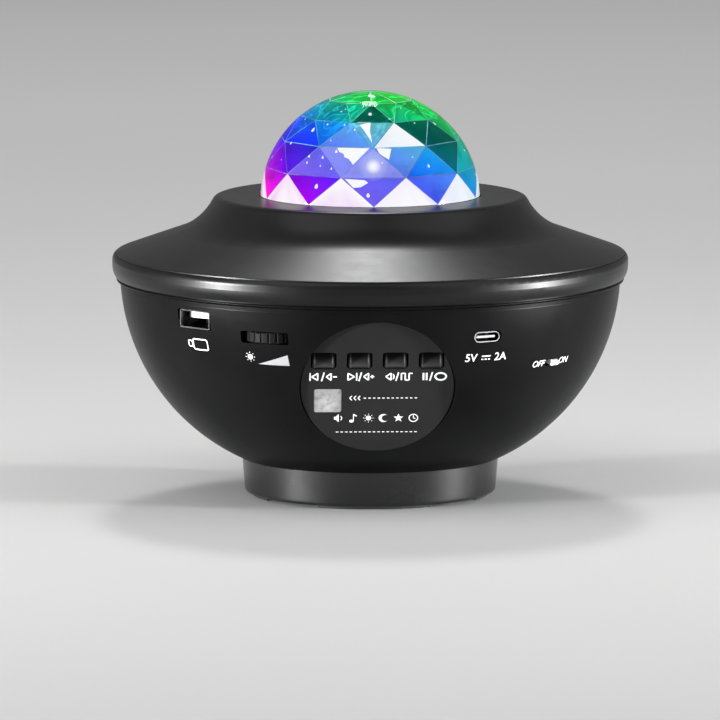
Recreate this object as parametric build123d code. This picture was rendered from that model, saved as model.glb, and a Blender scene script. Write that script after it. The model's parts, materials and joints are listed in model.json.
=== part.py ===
from build123d import *
import math
import os

# Star night light projector with a wireless speaker in its base.
# Millimetres, +Z up, the control panel at the front (-Y), origin at the centre of the underside.
# An azimuth turns a shape that is modelled at the front, positive towards +X.

# ---------------------------------------------------------------- driving dimensions

# outline
rim_radius = 82.5
seam_z = 70.3
crown_z = 96.0
crown_radius = 48.1
foot_radius = 41.0
foot_top_z = 12.0
shell_wall = 2.4

# cover profile
band_height = 5.3
band_tuck = (1.1, 3.6)
shoulder_radius = shell_wall + 0.2
throat_radius = 20.8
crown_edge_radius = shell_wall + 0.2
crown_steepness = 62.0
groove_turn = 52.0
groove_spread = 13.0
groove_depth = 0.4

# bowl
bowl_inset = 2.5
bowl_centre_rise = 1.8
bead_overhang = 1.2
bead_height = 0.8
bead_gap = 0.45
bead_land = 0.5
register_height = 2.5
register_wall = 1.6
register_gap = 0.25
hook_azimuths = (-156, -112, -72, 72, 112, 156)
hook_width = 8.0
hook_wall = 1.6
hook_barb = 0.9
hook_drop = 8.0

# foot
foot_draft = 0.8
pad_drop = 0.9
pad_seat = 0.5
pad_width = 4.5
pad_span = 56.0
pad_azimuths = (0, 90, 180, 270)
base_screw_azimuths = (45, 135, 225, 315)
foot_rim_width = 9.5
grille_recess = 1.6
grille_pitch = 4.0
grille_slot = 1.6
grille_rings = 4
grille_spokes = 6
grille_spoke_width = 2.4

# dome lens
dome_height = 33.4
dome_base_radius = 35.1
dome_wall = 1.5
dome_sides = 10
dome_latitudes = (17.9, 35.7, 53.2, 67.5)
dome_opening_gap = 0.3
dome_flange_width = 2.8
dome_flange = 1.5

# control panel
panel_radius = 24.3
panel_tilt = 25.6
panel_sink = 5.0877
panel_z = 43.35
panel_plate = 1.2
panel_gap = 0.12
panel_backing = 2.4
panel_bevel = 0.35
button_pitch = 11.25
button_row = 9.65
button_width = 7.9
button_height = 6.0
button_gap = 0.1
button_lip = 0.7
button_proud = 0.25
button_edge = 0.6
button_slope = panel_tilt
window_size = 8.6
window_x = -15.5
window_y = -5.25
window_gap = 0.1
key_board_depth = 10.0
key_board_width = 50.0
key_board_top = 14.2
key_board_bottom = -12.5
key_board_shoulder = 6.0
key_boss_places = ((-21.3, 2.2), (21.3, 2.2), (0.0, -9.5))
switch_side = 6.0
switch_depth = 3.5
plunger_radius = 1.7
plunger_gap = 0.08
board_thickness = 1.6

# sockets and controls in the bowl wall
usb_a_azimuth = -46.2
usb_a_z = 63.0
usb_a_cutout = (14.2, 6.1)
usb_a_shell_size = (13.1, 5.7)
usb_a_shell_length = 14.0
usb_a_sheet = 0.35
usb_a_tongue_size = (11.1, 1.9)
usb_a_tongue_recess = 3.4
usb_c_azimuth = 26.0
usb_c_drop = 3.8
usb_c_cutout = (9.9, 3.9)
usb_c_shell_size = (8.94, 3.26)
usb_c_shell_length = 7.4
usb_c_sheet = 0.3
usb_c_tongue_size = (6.69, 0.7)
usb_c_tongue_recess = 0.8
mouth_recess = 0.5
dimmer_azimuth = -26.85
dimmer_drop = 3.9
dimmer_slot = (16.4, 3.9)
dimmer_wheel_radius = 9.5
dimmer_wheel_thickness = 3.3
dimmer_proud = 0.8
dimmer_ribs = 24
dimmer_rib_depth = 0.35
dimmer_notch_radius = 0.5
dimmer_body_width = 10.0
dimmer_body_height = 2.2
dimmer_tail = 4.2
dimmer_pin_radius = 2.0
power_azimuth = 47.1
power_z = 48.6
power_slot = (6.2, 2.1)
power_knob = (3.9, 1.5)
power_travel = 2.0
power_body = (8.6, 4.4)
power_body_depth = 4.0
power_ears = 13.6
power_knob_proud = 0.6

# main board
board_outer_gap = 0.8
board_inner_radius = 46.0
board_half_angle = 64.0
board_panel_side = 6.2
board_panel_gap = 11.3
board_boss_azimuths = (-60.0, -38.5, 38.5, 60.0)
board_boss_radius = 67.0

# optics, stacked on the axis
deck_top_z = crown_z - 8.0
deck_thickness = 2.0
deck_radius = 46.0
deck_screw_radius = 42.5
deck_screw_azimuths = (45, 135, 225, 315)
collar_wall = 3.5
gear_module = 0.8
rotor_teeth = 56
pinion_teeth = 12
idler_teeth = 42
drive_module = 0.5
drive_teeth = 10
pressure_angle = 20.0
gear_backlash = 0.16
gear_spread = 0.06
rotor_width = 2.2
rotor_rim = 2.4
rotor_spoke_width = 2.4
rotor_gap = 1.0
running_gap = 0.05
end_gap = 0.1
post_radius = 5.5
post_bore = 4.55
post_flange = 2.4
post_flange_height = 1.2
ripple_thickness = 2.0
ripple_rings = 6
laser_radius = 4.5
laser_length = 18.0
sink_radius = 24.5
sink_base = 2.0
sink_fin = 1.2
sink_fin_height = 6.0
sink_fin_pitch = 4.0
sink_drop = 14.0
leg_radius = 2.8
leg_gap = 3.0
leg_azimuths = (0, 120, 240)
led_board_radius = 22.0
led_circle = 9.9
led_count = 4
led_side = 3.5
led_height = 1.9
lens_radius = 3.9
lens_height = 6.4
holder_radius = 15.4
motor_radius = 7.8
motor_length = 18.0
motor_bearing = (3.0, 1.4)
motor_shaft_radius = 0.75
motor_turn = 20.0
motor_screw_pitch = 12.0
gear_plate_thickness = 1.6
gear_plate_drop = 6.4
idler_pin_radius = 1.0
idler_wheel_width = 1.8

# speaker
speaker_radius = 26.0
speaker_flange = 2.2
speaker_screw_circle = 24.0
speaker_screw_azimuths = (0, 90, 180, 270)
speaker_frame_height = 11.0
cone_radius = 17.2
cone_wall = 0.5
cone_depth = 4.6
cap_height = 2.0
surround_radius = 20.5
surround_land = 0.8
surround_sheet = 0.4
spider_radius = 13.8
coil_radius = 7.0
coil_wall = 0.6
coil_gap = 0.4
coil_length = 9.0
magnet_radius = 17.5
magnet_bore = 10.5
magnet_height = 6.0
pole_plate = 2.0

# screws
screw_radius = 1.3
screw_head_radius = 2.4
screw_head_height = 1.6
screw_gap = 0.05
small_screw_radius = 0.8
small_head_radius = 1.5
small_head_height = 1.0
boss_wall = 1.9

# ---------------------------------------------------------------- values worked out from them

skin_radius = rim_radius - shell_wall
band_top_z = seam_z + band_height
crown_under_z = crown_z - shell_wall
foot_base_z = pad_drop
floor_z = foot_top_z + shell_wall
boss_radius = screw_radius + boss_wall
small_boss_radius = small_screw_radius + 1.6
bowl_lip_radius = rim_radius - bowl_inset
bowl_centre_z = seam_z + bowl_centre_rise
dome_flange_z = crown_under_z - dome_flange
dome_opening = dome_base_radius + dome_opening_gap
dome_outer_radius = (dome_base_radius**2 + dome_height**2) / (2 * dome_height)
dome_centre_z = crown_z + dome_height - dome_outer_radius
facet_radius = dome_outer_radius - dome_wall
facet_base_radius = math.sqrt(facet_radius**2 - (crown_z - dome_centre_z) ** 2)
board_top_z = usb_a_z - usb_a_shell_size[1] / 2
usb_c_z = usb_a_z - usb_c_drop
dimmer_z = usb_a_z - dimmer_drop
board_under_z = board_top_z - board_thickness
deck_under_z = deck_top_z - deck_thickness
sink_top_z = deck_top_z - sink_drop
led_board_top_z = sink_top_z + board_thickness
rotor_low_z = deck_under_z + 0.2
gear_plate_z = deck_under_z - gear_plate_drop
gear_plate_top_z = gear_plate_z + gear_plate_thickness
rotor_pitch_radius = gear_module * rotor_teeth / 2
rotor_tip_radius = rotor_pitch_radius + gear_module
pinion_tip_radius = gear_module * (pinion_teeth / 2 + 1)
leg_circle = rotor_tip_radius + leg_gap + leg_radius
idler_distance = gear_module * (rotor_teeth + pinion_teeth) / 2 + gear_spread
motor_distance = drive_module * (idler_teeth + drive_teeth) / 2 + gear_spread
idler_place = (0.0, idler_distance)
motor_place = (
    motor_distance * math.cos(math.radians(motor_turn)),
    idler_distance + motor_distance * math.sin(math.radians(motor_turn)),
)


def bowl_arc():
    """Radius and centre radius of the arc from the foot's top edge to the bowl's lip."""
    drop = bowl_centre_z - foot_top_z
    centre = (bowl_lip_radius**2 - foot_radius**2 - drop**2) / (2 * (bowl_lip_radius - foot_radius))
    return bowl_lip_radius - centre, centre


bowl_arc_radius, bowl_arc_centre = bowl_arc()


def bowl_radius(z, depth=0.0):
    """Radius of the bowl at height z, depth below its outer surface."""
    return bowl_arc_centre + math.sqrt((bowl_arc_radius - depth) ** 2 - (bowl_centre_z - z) ** 2)


def bowl_slope(z):
    """Angle in degrees by which the bowl's surface faces down at height z."""
    return math.degrees(math.asin((bowl_centre_z - z) / bowl_arc_radius))


panel_reach = bowl_radius(panel_z) - panel_sink
board_front_half_width = panel_radius + board_panel_side
board_front_cut = panel_reach - board_panel_gap
hook_radius = bowl_radius(seam_z - hook_drop, shell_wall) - hook_barb - 0.3
base_screw_radius = foot_radius - 6.2
base_head_z = foot_base_z + 3.2
pad_radius = foot_radius - foot_draft - 4.6
grille_top_z = foot_base_z + grille_recess + shell_wall
dimmer_axis_radius = bowl_radius(dimmer_z) + dimmer_proud - dimmer_wheel_radius
dimmer_low_z = dimmer_z - dimmer_wheel_thickness / 2
power_seat_depth = shell_wall + 0.8
power_knob_rest = power_travel / 2
post_top_z = rotor_low_z + rotor_width + ripple_thickness + end_gap + 2.2
speaker_seat_z = grille_top_z
frame_top_z = speaker_seat_z + speaker_frame_height
coil_bore = coil_radius + coil_wall + coil_gap
cone_edge_z = speaker_seat_z + speaker_flange - cone_wall - 0.1
cone_apex_z = cone_edge_z + cone_depth

# ---------------------------------------------------------------- helpers


def place(azimuth, radius, z=0.0):
    """Position on a circle about the axis."""
    angle = math.radians(azimuth)
    return Pos(radius * math.sin(angle), -radius * math.cos(angle), z)


def turned(shape, azimuth):
    return Rot(0, 0, azimuth) * shape


def facing_plane(azimuth, radius, z, tilt=0.0):
    """Plane whose X runs round the body and whose Z points outwards, tilted down by tilt."""
    a = math.radians(azimuth)
    t = math.radians(tilt)
    outwards = (math.sin(a) * math.cos(t), -math.cos(a) * math.cos(t), -math.sin(t))
    origin = (radius * math.sin(a), -radius * math.cos(a), z)
    return Plane(origin=origin, x_dir=(math.cos(a), math.sin(a), 0), z_dir=outwards)


def disc(radius, z_low, z_high):
    return Pos(0, 0, z_low) * Cylinder(radius, z_high - z_low, align=(Align.CENTER, Align.CENTER, Align.MIN))


def tube(outer, inner, z_low, z_high):
    return disc(outer, z_low, z_high) - disc(inner, z_low - 1, z_high + 1)


def block(width, depth, height):
    """Box standing on z = 0, centred on the other two."""
    return Box(width, depth, height, align=(Align.CENTER, Align.CENTER, Align.MIN))


def bar(width, height, radius, low, high):
    """Prism with rounded corners along the plane's Z, from low to high."""
    return extrude(Pos(0, 0, low) * RectangleRounded(width, height, radius), high - low)


def turned_profile(*edges):
    """Solid of revolution of a closed profile in radius and height."""
    return revolve(Plane.XZ * make_face(Curve() + list(edges)), Axis.Z)


def turned_outline(*points):
    return revolve(Plane.XZ * make_face(Polyline(*points, close=True)), Axis.Z)


def screw(head_z, length, up=True, radius=screw_radius, head=screw_head_radius, height=screw_head_height):
    """Screw with its head's seat at head_z and its shank running up or down from there."""
    sign = 1 if up else -1
    shank = disc(radius, min(head_z, head_z + sign * length), max(head_z, head_z + sign * length))
    cap = disc(head, min(head_z, head_z - sign * height), max(head_z, head_z - sign * height))
    return shank + cap


def small_screw(head_z, length, up=True):
    return screw(head_z, length, up, small_screw_radius, small_head_radius, small_head_height)


def write(name, *solids):
    """Write one node, with each of its solids apart."""
    bodies = [body for shape in solids for body in shape.solids()]
    export_step(bodies[0] if len(bodies) == 1 else Compound(bodies), f"parts/{name}.step")


# ---------------------------------------------------------------- gears


def involute(angle):
    return math.tan(angle) - angle


def gear_face(module, teeth):
    """Spur gear outline with involute flanks and a tooth centred on +X."""
    pitch = module * teeth / 2
    base = pitch * math.cos(math.radians(pressure_angle))
    root = pitch - 1.25 * module
    tip = pitch + 0.9 * module
    half_pitch_angle = math.pi / (2 * teeth) - gear_backlash / (4 * pitch)
    flank_start = max(base, root + 0.1 * module)

    def half_angle(radius):
        return half_pitch_angle + involute(math.radians(pressure_angle)) - involute(math.acos(base / radius))

    flank = [(r, half_angle(r)) for r in (flank_start, (flank_start + tip) / 2, tip)]
    root_angle = min(half_angle(flank_start) + 0.12 * module / root, 0.9 * math.pi / teeth)
    side = [(root, root_angle)] + flank
    points = []
    for tooth in range(teeth):
        middle = 2 * math.pi * tooth / teeth
        points += [(r * math.cos(middle - a), r * math.sin(middle - a)) for r, a in side]
        points += [(r * math.cos(middle + a), r * math.sin(middle + a)) for r, a in reversed(side)]
    return make_face(Polyline(*points, close=True))


def gear(module, teeth, z_low, z_high, tooth_towards):
    """Spur gear with a tooth centred on the direction tooth_towards, in degrees from +X."""
    return Rot(0, 0, tooth_towards) * (Pos(0, 0, z_low) * extrude(gear_face(module, teeth), z_high - z_low))


# ---------------------------------------------------------------- housing


def cover_profile(depth):
    """Edges of the cover's surface from the rim to the crown, depth below its outside."""
    shoulder = shoulder_radius - depth
    throat = throat_radius + depth
    crown_edge = crown_edge_radius - depth
    steep = math.radians(crown_steepness)
    top_z = crown_z - depth
    shoulder_centre = (rim_radius - shoulder_radius, band_top_z)
    crown_centre = (crown_radius, crown_z - crown_edge_radius)
    spread = crown_edge_radius + throat_radius
    throat_centre = (
        crown_centre[0] + spread * math.sin(steep),
        crown_centre[1] + spread * math.cos(steep),
    )
    across = (throat_centre[0] - shoulder_centre[0], throat_centre[1] - shoulder_centre[1])
    distance = math.hypot(*across)
    heading = math.atan2(across[1], across[0]) + math.pi / 2 - math.acos((shoulder + throat) / distance)
    lean = heading - math.pi / 2
    straight_start = (
        shoulder_centre[0] + shoulder * math.cos(lean),
        shoulder_centre[1] + shoulder * math.sin(lean),
    )
    straight_end = (
        throat_centre[0] - throat * math.cos(lean),
        throat_centre[1] - throat * math.sin(lean),
    )
    throat_end = (
        crown_centre[0] + crown_edge * math.sin(steep),
        crown_centre[1] + crown_edge * math.cos(steep),
    )
    middle = lean / 2
    shoulder_middle = (
        shoulder_centre[0] + shoulder * math.cos(middle),
        shoulder_centre[1] + shoulder * math.sin(middle),
    )
    throat_turn = (lean + math.pi / 2 - steep) / 2
    throat_middle = (
        throat_centre[0] - throat * math.cos(throat_turn),
        throat_centre[1] - throat * math.sin(throat_turn),
    )
    crown_middle = (
        crown_centre[0] + crown_edge * math.sin(steep / 2),
        crown_centre[1] + crown_edge * math.cos(steep / 2),
    )
    return [
        ThreePointArc((rim_radius - depth, band_top_z), shoulder_middle, straight_start),
        Line(straight_start, straight_end),
        ThreePointArc(straight_end, throat_middle, throat_end),
        ThreePointArc(throat_end, crown_middle, (crown_radius, top_z)),
    ]


def tuck_arc(tuck, height, low_z):
    """Arc that draws the band in by tuck at low_z, over a height."""
    radius = (tuck**2 + height**2) / (2 * tuck)
    half = math.asin(height / radius) / 2
    middle = (rim_radius - radius * (1 - math.cos(half)), low_z + height - radius * math.sin(half))
    return ThreePointArc((rim_radius - tuck, low_z), middle, (rim_radius, low_z + height))


def cover_body(depth, low_z):
    """Solid under the cover's surface at a depth, down to low_z, tucked in at the outside."""
    flank = rim_radius - depth
    if depth == 0:
        tuck, height = band_tuck
        lower = [
            Line((0, low_z), (flank - tuck, low_z)),
            tuck_arc(tuck, height, low_z),
            Line((flank, low_z + height), (flank, band_top_z)),
        ]
    else:
        lower = [Line((0, low_z), (flank, low_z)), Line((flank, low_z), (flank, band_top_z))]
    return turned_profile(
        *lower,
        *cover_profile(depth),
        Line((crown_radius, crown_z - depth), (0, crown_z - depth)),
        Line((0, crown_z - depth), (0, low_z)),
    )


def cover_groove():
    """Fine groove round the cover's shoulder."""

    def on_shoulder(turn, radius):
        angle = math.radians(turn)
        centre_radius = rim_radius - shoulder_radius
        return (centre_radius + radius * math.cos(angle), band_top_z + radius * math.sin(angle))

    clear = shoulder_radius + 0.6
    return turned_outline(
        on_shoulder(groove_turn, shoulder_radius - groove_depth),
        on_shoulder(groove_turn - groove_spread, clear),
        on_shoulder(groove_turn + groove_spread, clear),
    )


def hook():
    """Snap hook of the cover, modelled at the front."""
    outer = hook_radius
    root_z = seam_z + band_height
    low_z = seam_z - hook_drop
    arm = Pos(0, -outer + hook_wall / 2, low_z) * block(hook_width, hook_wall, root_z + 12 - low_z)
    barb_face = Polyline(
        (outer - 0.1, low_z), (outer + hook_barb, low_z + 1.4), (outer + hook_barb, low_z + 2.0),
        (outer - 0.1, low_z + 2.0), close=True,
    )
    barb = Pos(hook_width / 2, 0, 0) * extrude(Plane.YZ * Rot(0, 180, 0) * make_face(barb_face), hook_width)
    return arm + barb


def top_cover():
    shell = cover_body(0, seam_z) - cover_body(shell_wall, seam_z - 1)
    shell -= disc(dome_opening, crown_under_z - 1, crown_z + 1)
    shell -= cover_groove()
    outside = cover_body(0.6, seam_z - hook_drop - 1)
    for azimuth in hook_azimuths:
        shell += turned(hook(), azimuth) & outside
    for azimuth in deck_screw_azimuths:
        boss = disc(boss_radius, deck_top_z, crown_under_z + 0.5)
        boss -= disc(screw_radius + screw_gap, deck_top_z - 1, crown_under_z - 0.4)
        shell += place(azimuth, deck_screw_radius) * boss
    return shell


def bowl_surface(depth, top_z):
    """Solid inside the bowl's arc at a depth, from the foot's top up to top_z."""
    low_z = foot_top_z + depth
    arc_radius = bowl_arc_radius - depth
    low = math.asin((bowl_centre_z - low_z) / arc_radius)
    high = math.asin((bowl_centre_z - top_z) / arc_radius)

    def on_arc(turn):
        return (bowl_arc_centre + arc_radius * math.cos(turn), bowl_centre_z - arc_radius * math.sin(turn))

    return turned_profile(
        Line((0, low_z), on_arc(low)),
        ThreePointArc(on_arc(low), on_arc((low + high) / 2), on_arc(high)),
        Line(on_arc(high), (0, top_z)),
        Line((0, top_z), (0, low_z)),
    )


panel_plane = facing_plane(0, panel_reach, panel_z, panel_tilt)
usb_a_plane = facing_plane(usb_a_azimuth, bowl_radius(usb_a_z), usb_a_z)
usb_c_plane = facing_plane(usb_c_azimuth, bowl_radius(usb_c_z), usb_c_z)
dimmer_plane = facing_plane(dimmer_azimuth, bowl_radius(dimmer_z), dimmer_z)
power_plane = facing_plane(power_azimuth, bowl_radius(power_z), power_z, bowl_slope(power_z))


def button_places():
    return [((column - 1.5) * button_pitch, button_row) for column in range(4)]


def lip_bead():
    """Land that the cover stands on, and below a shadow gap the bead round the bowl's lip."""
    root = bowl_radius(seam_z) - 1
    land = skin_radius + bead_land
    edge = bowl_radius(seam_z) + bead_overhang
    high = seam_z - bead_gap
    low = high - bead_height
    shoulder = edge - bead_height / 2
    return turned_profile(
        Line((root, seam_z), (land, seam_z)),
        Line((land, seam_z), (land, high)),
        Line((land, high), (shoulder, high)),
        ThreePointArc((shoulder, high), (edge, (high + low) / 2), (shoulder, low)),
        Line((shoulder, low), (root, low - bead_height)),
        Line((root, low - bead_height), (root, seam_z)),
    )


def bowl_shell():
    inner = bowl_surface(shell_wall, seam_z)
    solid = bowl_surface(0, seam_z)
    register_outer = skin_radius - register_gap
    register = tube(register_outer, register_outer - register_wall, seam_z - 3, seam_z + register_height)
    shell = solid - inner + lip_bead() + register
    shell -= disc(speaker_radius + 3, foot_top_z - 1, floor_z + 1)

    inside = bowl_surface(0.8, seam_z)
    catch_z = seam_z - hook_drop + 2.3
    for azimuth in hook_azimuths:
        catch = Pos(0, -hook_radius - 0.2 - 3, catch_z) * block(hook_width + 2, 6, 1.4)
        shell += turned(catch, azimuth) & inside

    for azimuth in board_boss_azimuths:
        at = place(azimuth, board_boss_radius)
        shell += at * disc(boss_radius, foot_top_z, board_under_z) & inside
        shell -= at * disc(screw_radius + screw_gap, board_under_z - 9, board_under_z + 1)

    for azimuth in base_screw_azimuths:
        at = place(azimuth, base_screw_radius)
        shell += at * disc(boss_radius + 0.6, floor_z - 0.5, floor_z + 7)
        shell -= at * disc(screw_radius + screw_gap, foot_top_z - 1, floor_z + 6)

    seat = panel_radius + panel_gap
    pocket_floor = -panel_plate - panel_backing
    backing = panel_plane * disc(seat + 2.0, pocket_floor, 20) & bowl_surface(0.3, seam_z)
    shell = shell + backing - panel_plane * disc(seat, -panel_plate, 30)
    for x, y in button_places():
        opening = bar(button_width + 2 * button_gap, button_height + 2 * button_gap, 1.2, pocket_floor - 1, 1)
        shell -= panel_plane * (Pos(x, y, 0) * opening)
    eye_hole = bar(window_size - 2, window_size - 2, 1, pocket_floor - 1, 1)
    shell -= panel_plane * (Pos(window_x, window_y, 0) * eye_hole)
    for x, y in key_boss_places:
        post = disc(small_boss_radius, -key_board_depth, pocket_floor + 0.2)
        post -= disc(small_screw_radius + screw_gap, -key_board_depth - 1, pocket_floor - 0.6)
        shell += panel_plane * (Pos(x, y, 0) * post)

    shell -= usb_a_plane * bar(*usb_a_cutout, 0.8, -6, 6)
    shell -= usb_c_plane * bar(*usb_c_cutout, usb_c_cutout[1] / 2 - 0.01, -6, 6)
    shell -= dimmer_plane * bar(*dimmer_slot, 0.6, -8, 6)
    shell -= power_plane * bar(*power_slot, power_slot[1] / 2 - 0.01, -6, 6)
    ear_reach = (power_body[0] + power_ears) / 4
    for side in (-1, 1):
        at = power_plane * Pos(side * ear_reach, 0, 0)
        shell += at * disc(small_boss_radius - 0.4, -power_seat_depth, -1.2)
        shell -= at * disc(small_screw_radius + screw_gap, -power_seat_depth - 1, -1.6)
    return shell


def foot_outline(depth):
    """Half section of the foot, depth inside its outer face."""
    low_radius = foot_radius - foot_draft
    return low_radius - depth, foot_radius - depth


def base_foot():
    low_radius, high_radius = foot_outline(0)
    edge = 1.2
    inner_low, inner_high = foot_outline(shell_wall)
    inner_floor_z = foot_base_z + shell_wall
    centre_radius = low_radius - foot_rim_width
    outer = turned_profile(
        Line((0, foot_base_z), (low_radius - edge, foot_base_z)),
        ThreePointArc(
            (low_radius - edge, foot_base_z),
            (low_radius - edge * 0.3, foot_base_z + edge * 0.3),
            (low_radius, foot_base_z + edge),
        ),
        Line((low_radius, foot_base_z + edge), (high_radius, foot_top_z)),
        Line((high_radius, foot_top_z), (0, foot_top_z)),
        Line((0, foot_top_z), (0, foot_base_z)),
    )
    hollow = turned_outline(
        (0, grille_top_z), (centre_radius, grille_top_z), (centre_radius + 1, inner_floor_z),
        (inner_low, inner_floor_z), (inner_high, foot_top_z + 1), (0, foot_top_z + 1),
    )
    foot = outer - hollow - disc(centre_radius - 1, foot_base_z - 1, foot_base_z + grille_recess)
    for azimuth in base_screw_azimuths:
        at = place(azimuth, base_screw_radius)
        foot += at * disc(boss_radius + 0.6, inner_floor_z - 0.5, foot_top_z)
        foot -= at * disc(screw_radius + screw_gap, foot_base_z - 1, foot_top_z + 1)
        foot -= at * disc(screw_head_radius + 0.15, foot_base_z - 1, base_head_z)
    for azimuth in speaker_screw_azimuths:
        hole = disc(small_screw_radius + screw_gap, grille_top_z - 1.8, grille_top_z + 1)
        foot -= place(azimuth, speaker_screw_circle) * hole
    for azimuth in pad_azimuths:
        foot -= pad(azimuth, foot_base_z, foot_base_z + pad_seat, 0.1)
    for number in range(1, grille_rings + 1):
        middle = number * grille_pitch
        slot = tube(middle + grille_slot / 2, middle - grille_slot / 2, foot_base_z, grille_top_z + 1)
        for spoke in range(grille_spokes // 2):
            spoke_bar = block(2 * middle + 9, grille_spoke_width, foot_top_z)
            slot -= Rot(0, 0, spoke * 360 / grille_spokes + 15 * (number % 2)) * spoke_bar
        foot -= slot
    return foot


def pad(azimuth, z_low, z_high, gap=0.0):
    """Arc-shaped rubber pad, or with a gap its seat in the foot."""
    half = pad_width / 2 + gap
    reach = 2 * pad_radius
    half_span = math.radians(pad_span / 2) + gap / pad_radius
    wedge = extrude(
        Pos(0, 0, z_low)
        * make_face(
            Polyline(
                (0, 0),
                (reach * math.sin(-half_span), -reach * math.cos(half_span)),
                (0, -1.5 * reach),
                (reach * math.sin(half_span), -reach * math.cos(half_span)),
                close=True,
            )
        ),
        z_high - z_low,
    )
    return turned(tube(pad_radius + half, pad_radius - half, z_low, z_high) & wedge, azimuth)


def foot_pads():
    return [pad(azimuth, 0, foot_base_z + pad_seat) for azimuth in pad_azimuths]


# ---------------------------------------------------------------- dome lens


def dome_cap():
    """Solid under the dome's smooth outer surface."""
    start = math.asin((crown_z - dome_centre_z) / dome_outer_radius)
    middle = (start + math.pi / 2) / 2
    foot = (dome_base_radius, crown_z)
    apex = (0, crown_z + dome_height)
    on_arc = (dome_outer_radius * math.cos(middle), dome_centre_z + dome_outer_radius * math.sin(middle))
    return turned_profile(
        Line((0, crown_z), foot),
        ThreePointArc(foot, on_arc, apex),
        Line(apex, (0, crown_z)),
    )


def facet_rings():
    """Corners of the facets inside the dome, ring by ring, each ring half a side on from the last."""
    levels = [(facet_base_radius, crown_z)]
    for latitude in dome_latitudes:
        angle = math.radians(latitude)
        levels.append((facet_radius * math.cos(angle), dome_centre_z + facet_radius * math.sin(angle)))
    rings = []
    for number, (radius, z) in enumerate(levels):
        turns = [2 * math.pi * (side + (number % 2) / 2) / dome_sides for side in range(dome_sides)]
        rings.append([(radius * math.sin(t), -radius * math.cos(t), z) for t in turns])
    return rings


def facet_solid():
    """Solid of triangles that hollows the dome out."""
    rings = facet_rings()
    faces = [tuple(reversed(rings[0]))]
    for level, (low, high) in enumerate(zip(rings, rings[1:])):
        for side in range(dome_sides):
            after = (side + 1) % dome_sides
            if level % 2 == 0:
                faces.append((low[side], low[after], high[side]))
                faces.append((low[after], high[after], high[side]))
            else:
                faces.append((low[side], low[after], high[after]))
                faces.append((low[side], high[after], high[side]))
    top = rings[-1]
    apex = (0, 0, dome_centre_z + facet_radius)
    faces += [(top[side], top[(side + 1) % dome_sides], apex) for side in range(dome_sides)]
    return Solid(Shell([Face(Wire.make_polygon(corners, close=True)) for corners in faces]))


def dome_lens():
    bore = facet_base_radius * math.cos(math.pi / dome_sides) - 0.1
    lens = dome_cap() + disc(dome_base_radius, dome_flange_z, crown_z)
    lens += disc(dome_base_radius + dome_flange_width, dome_flange_z, crown_under_z)
    lens -= disc(bore, dome_flange_z - 1, crown_z)
    return lens - facet_solid()


# ---------------------------------------------------------------- control panel


def control_panel():
    plate = disc(panel_radius, -panel_plate, 0)
    plate = chamfer(plate.edges().filter_by(GeomType.CIRCLE).sort_by(Axis.Z)[-1], panel_bevel)
    for x, y in button_places():
        plate -= Pos(x, y, 0) * bar(button_width + 2 * button_gap, button_height + 2 * button_gap, 1.2, -3, 1)
    opening = window_size + 2 * window_gap
    plate -= Pos(window_x, window_y, 0) * bar(opening, opening, 0.8, -3, 1)
    return panel_plane * plate


def ir_window():
    return panel_plane * (Pos(window_x, window_y, 0) * bar(window_size, window_size, 0.7, -panel_plate, -0.1))


def button(x, y):
    """Button cap with an upright face, and the plunger of its switch behind it."""
    low = -panel_plate - panel_backing - 1.6
    cap = bar(button_width, button_height, 1.1, low, 6)
    lean = math.radians(button_slope)
    low_edge = -button_height / 2
    high_edge = button_height / 2
    rise = button_height * math.tan(lean)
    cutter_face = Polyline(
        (low_edge - 2, button_proud + 2 * math.tan(lean)),
        (high_edge + 2, button_proud - rise - 2 * math.tan(lean)),
        (high_edge + 2, 12),
        (low_edge - 2, 12),
        close=True,
    )
    cap -= Pos(-button_width, 0, 0) * extrude(Plane.YZ * make_face(cutter_face), 2 * button_width)
    front = cap.faces().sort_by(Axis.Z)[-1]
    cap = fillet(front.edges(), button_edge)
    under = -panel_plate - panel_backing - 0.1
    cap += bar(button_width + 2 * button_lip, button_height + 2 * button_lip, 1.4, under - 0.8, under)
    stem = disc(plunger_radius, -key_board_depth + switch_depth - 0.9, low)
    stem += disc(plunger_radius + 0.7, low - 0.5, low)
    return panel_plane * (Pos(x, y, 0) * (cap + stem))


def key_board():
    low = -key_board_depth - board_thickness
    top_width = key_board_width - 6
    wide = Pos(0, (key_board_shoulder + key_board_bottom) / 2, 0) * bar(
        key_board_width, key_board_shoulder - key_board_bottom, 1.5, low, -key_board_depth
    )
    narrow = Pos(0, (key_board_top + key_board_bottom) / 2, 0) * bar(
        top_width, key_board_top - key_board_bottom, 1.5, low, -key_board_depth
    )
    board = wide + narrow
    for x, y in key_boss_places:
        board -= Pos(x, y, 0) * disc(small_screw_radius + screw_gap, 2 * low, 0)
    return panel_plane * board


def key_screws():
    seat = -key_board_depth - board_thickness
    return [panel_plane * (Pos(x, y, 0) * small_screw(seat, board_thickness + 4)) for x, y in key_boss_places]


def tact_switches():
    switches = []
    for x, y in button_places():
        body = bar(switch_side, switch_side, 0.4, -key_board_depth, -key_board_depth + switch_depth)
        body -= disc(plunger_radius + plunger_gap, -key_board_depth + switch_depth - 1.6, 0)
        switches.append(panel_plane * (Pos(x, y, 0) * body))
    return switches


def ir_receiver():
    body = Pos(0, -1, 0) * bar(5.4, 6.4, 0.4, -key_board_depth, -key_board_depth + 2.6)
    eye = Pos(0, 0, -key_board_depth + 2.6) * (Sphere(2.0) & disc(3, 0, 3))
    return panel_plane * (Pos(window_x, window_y, 0) * (body + eye))


# ---------------------------------------------------------------- sockets and controls


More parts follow.
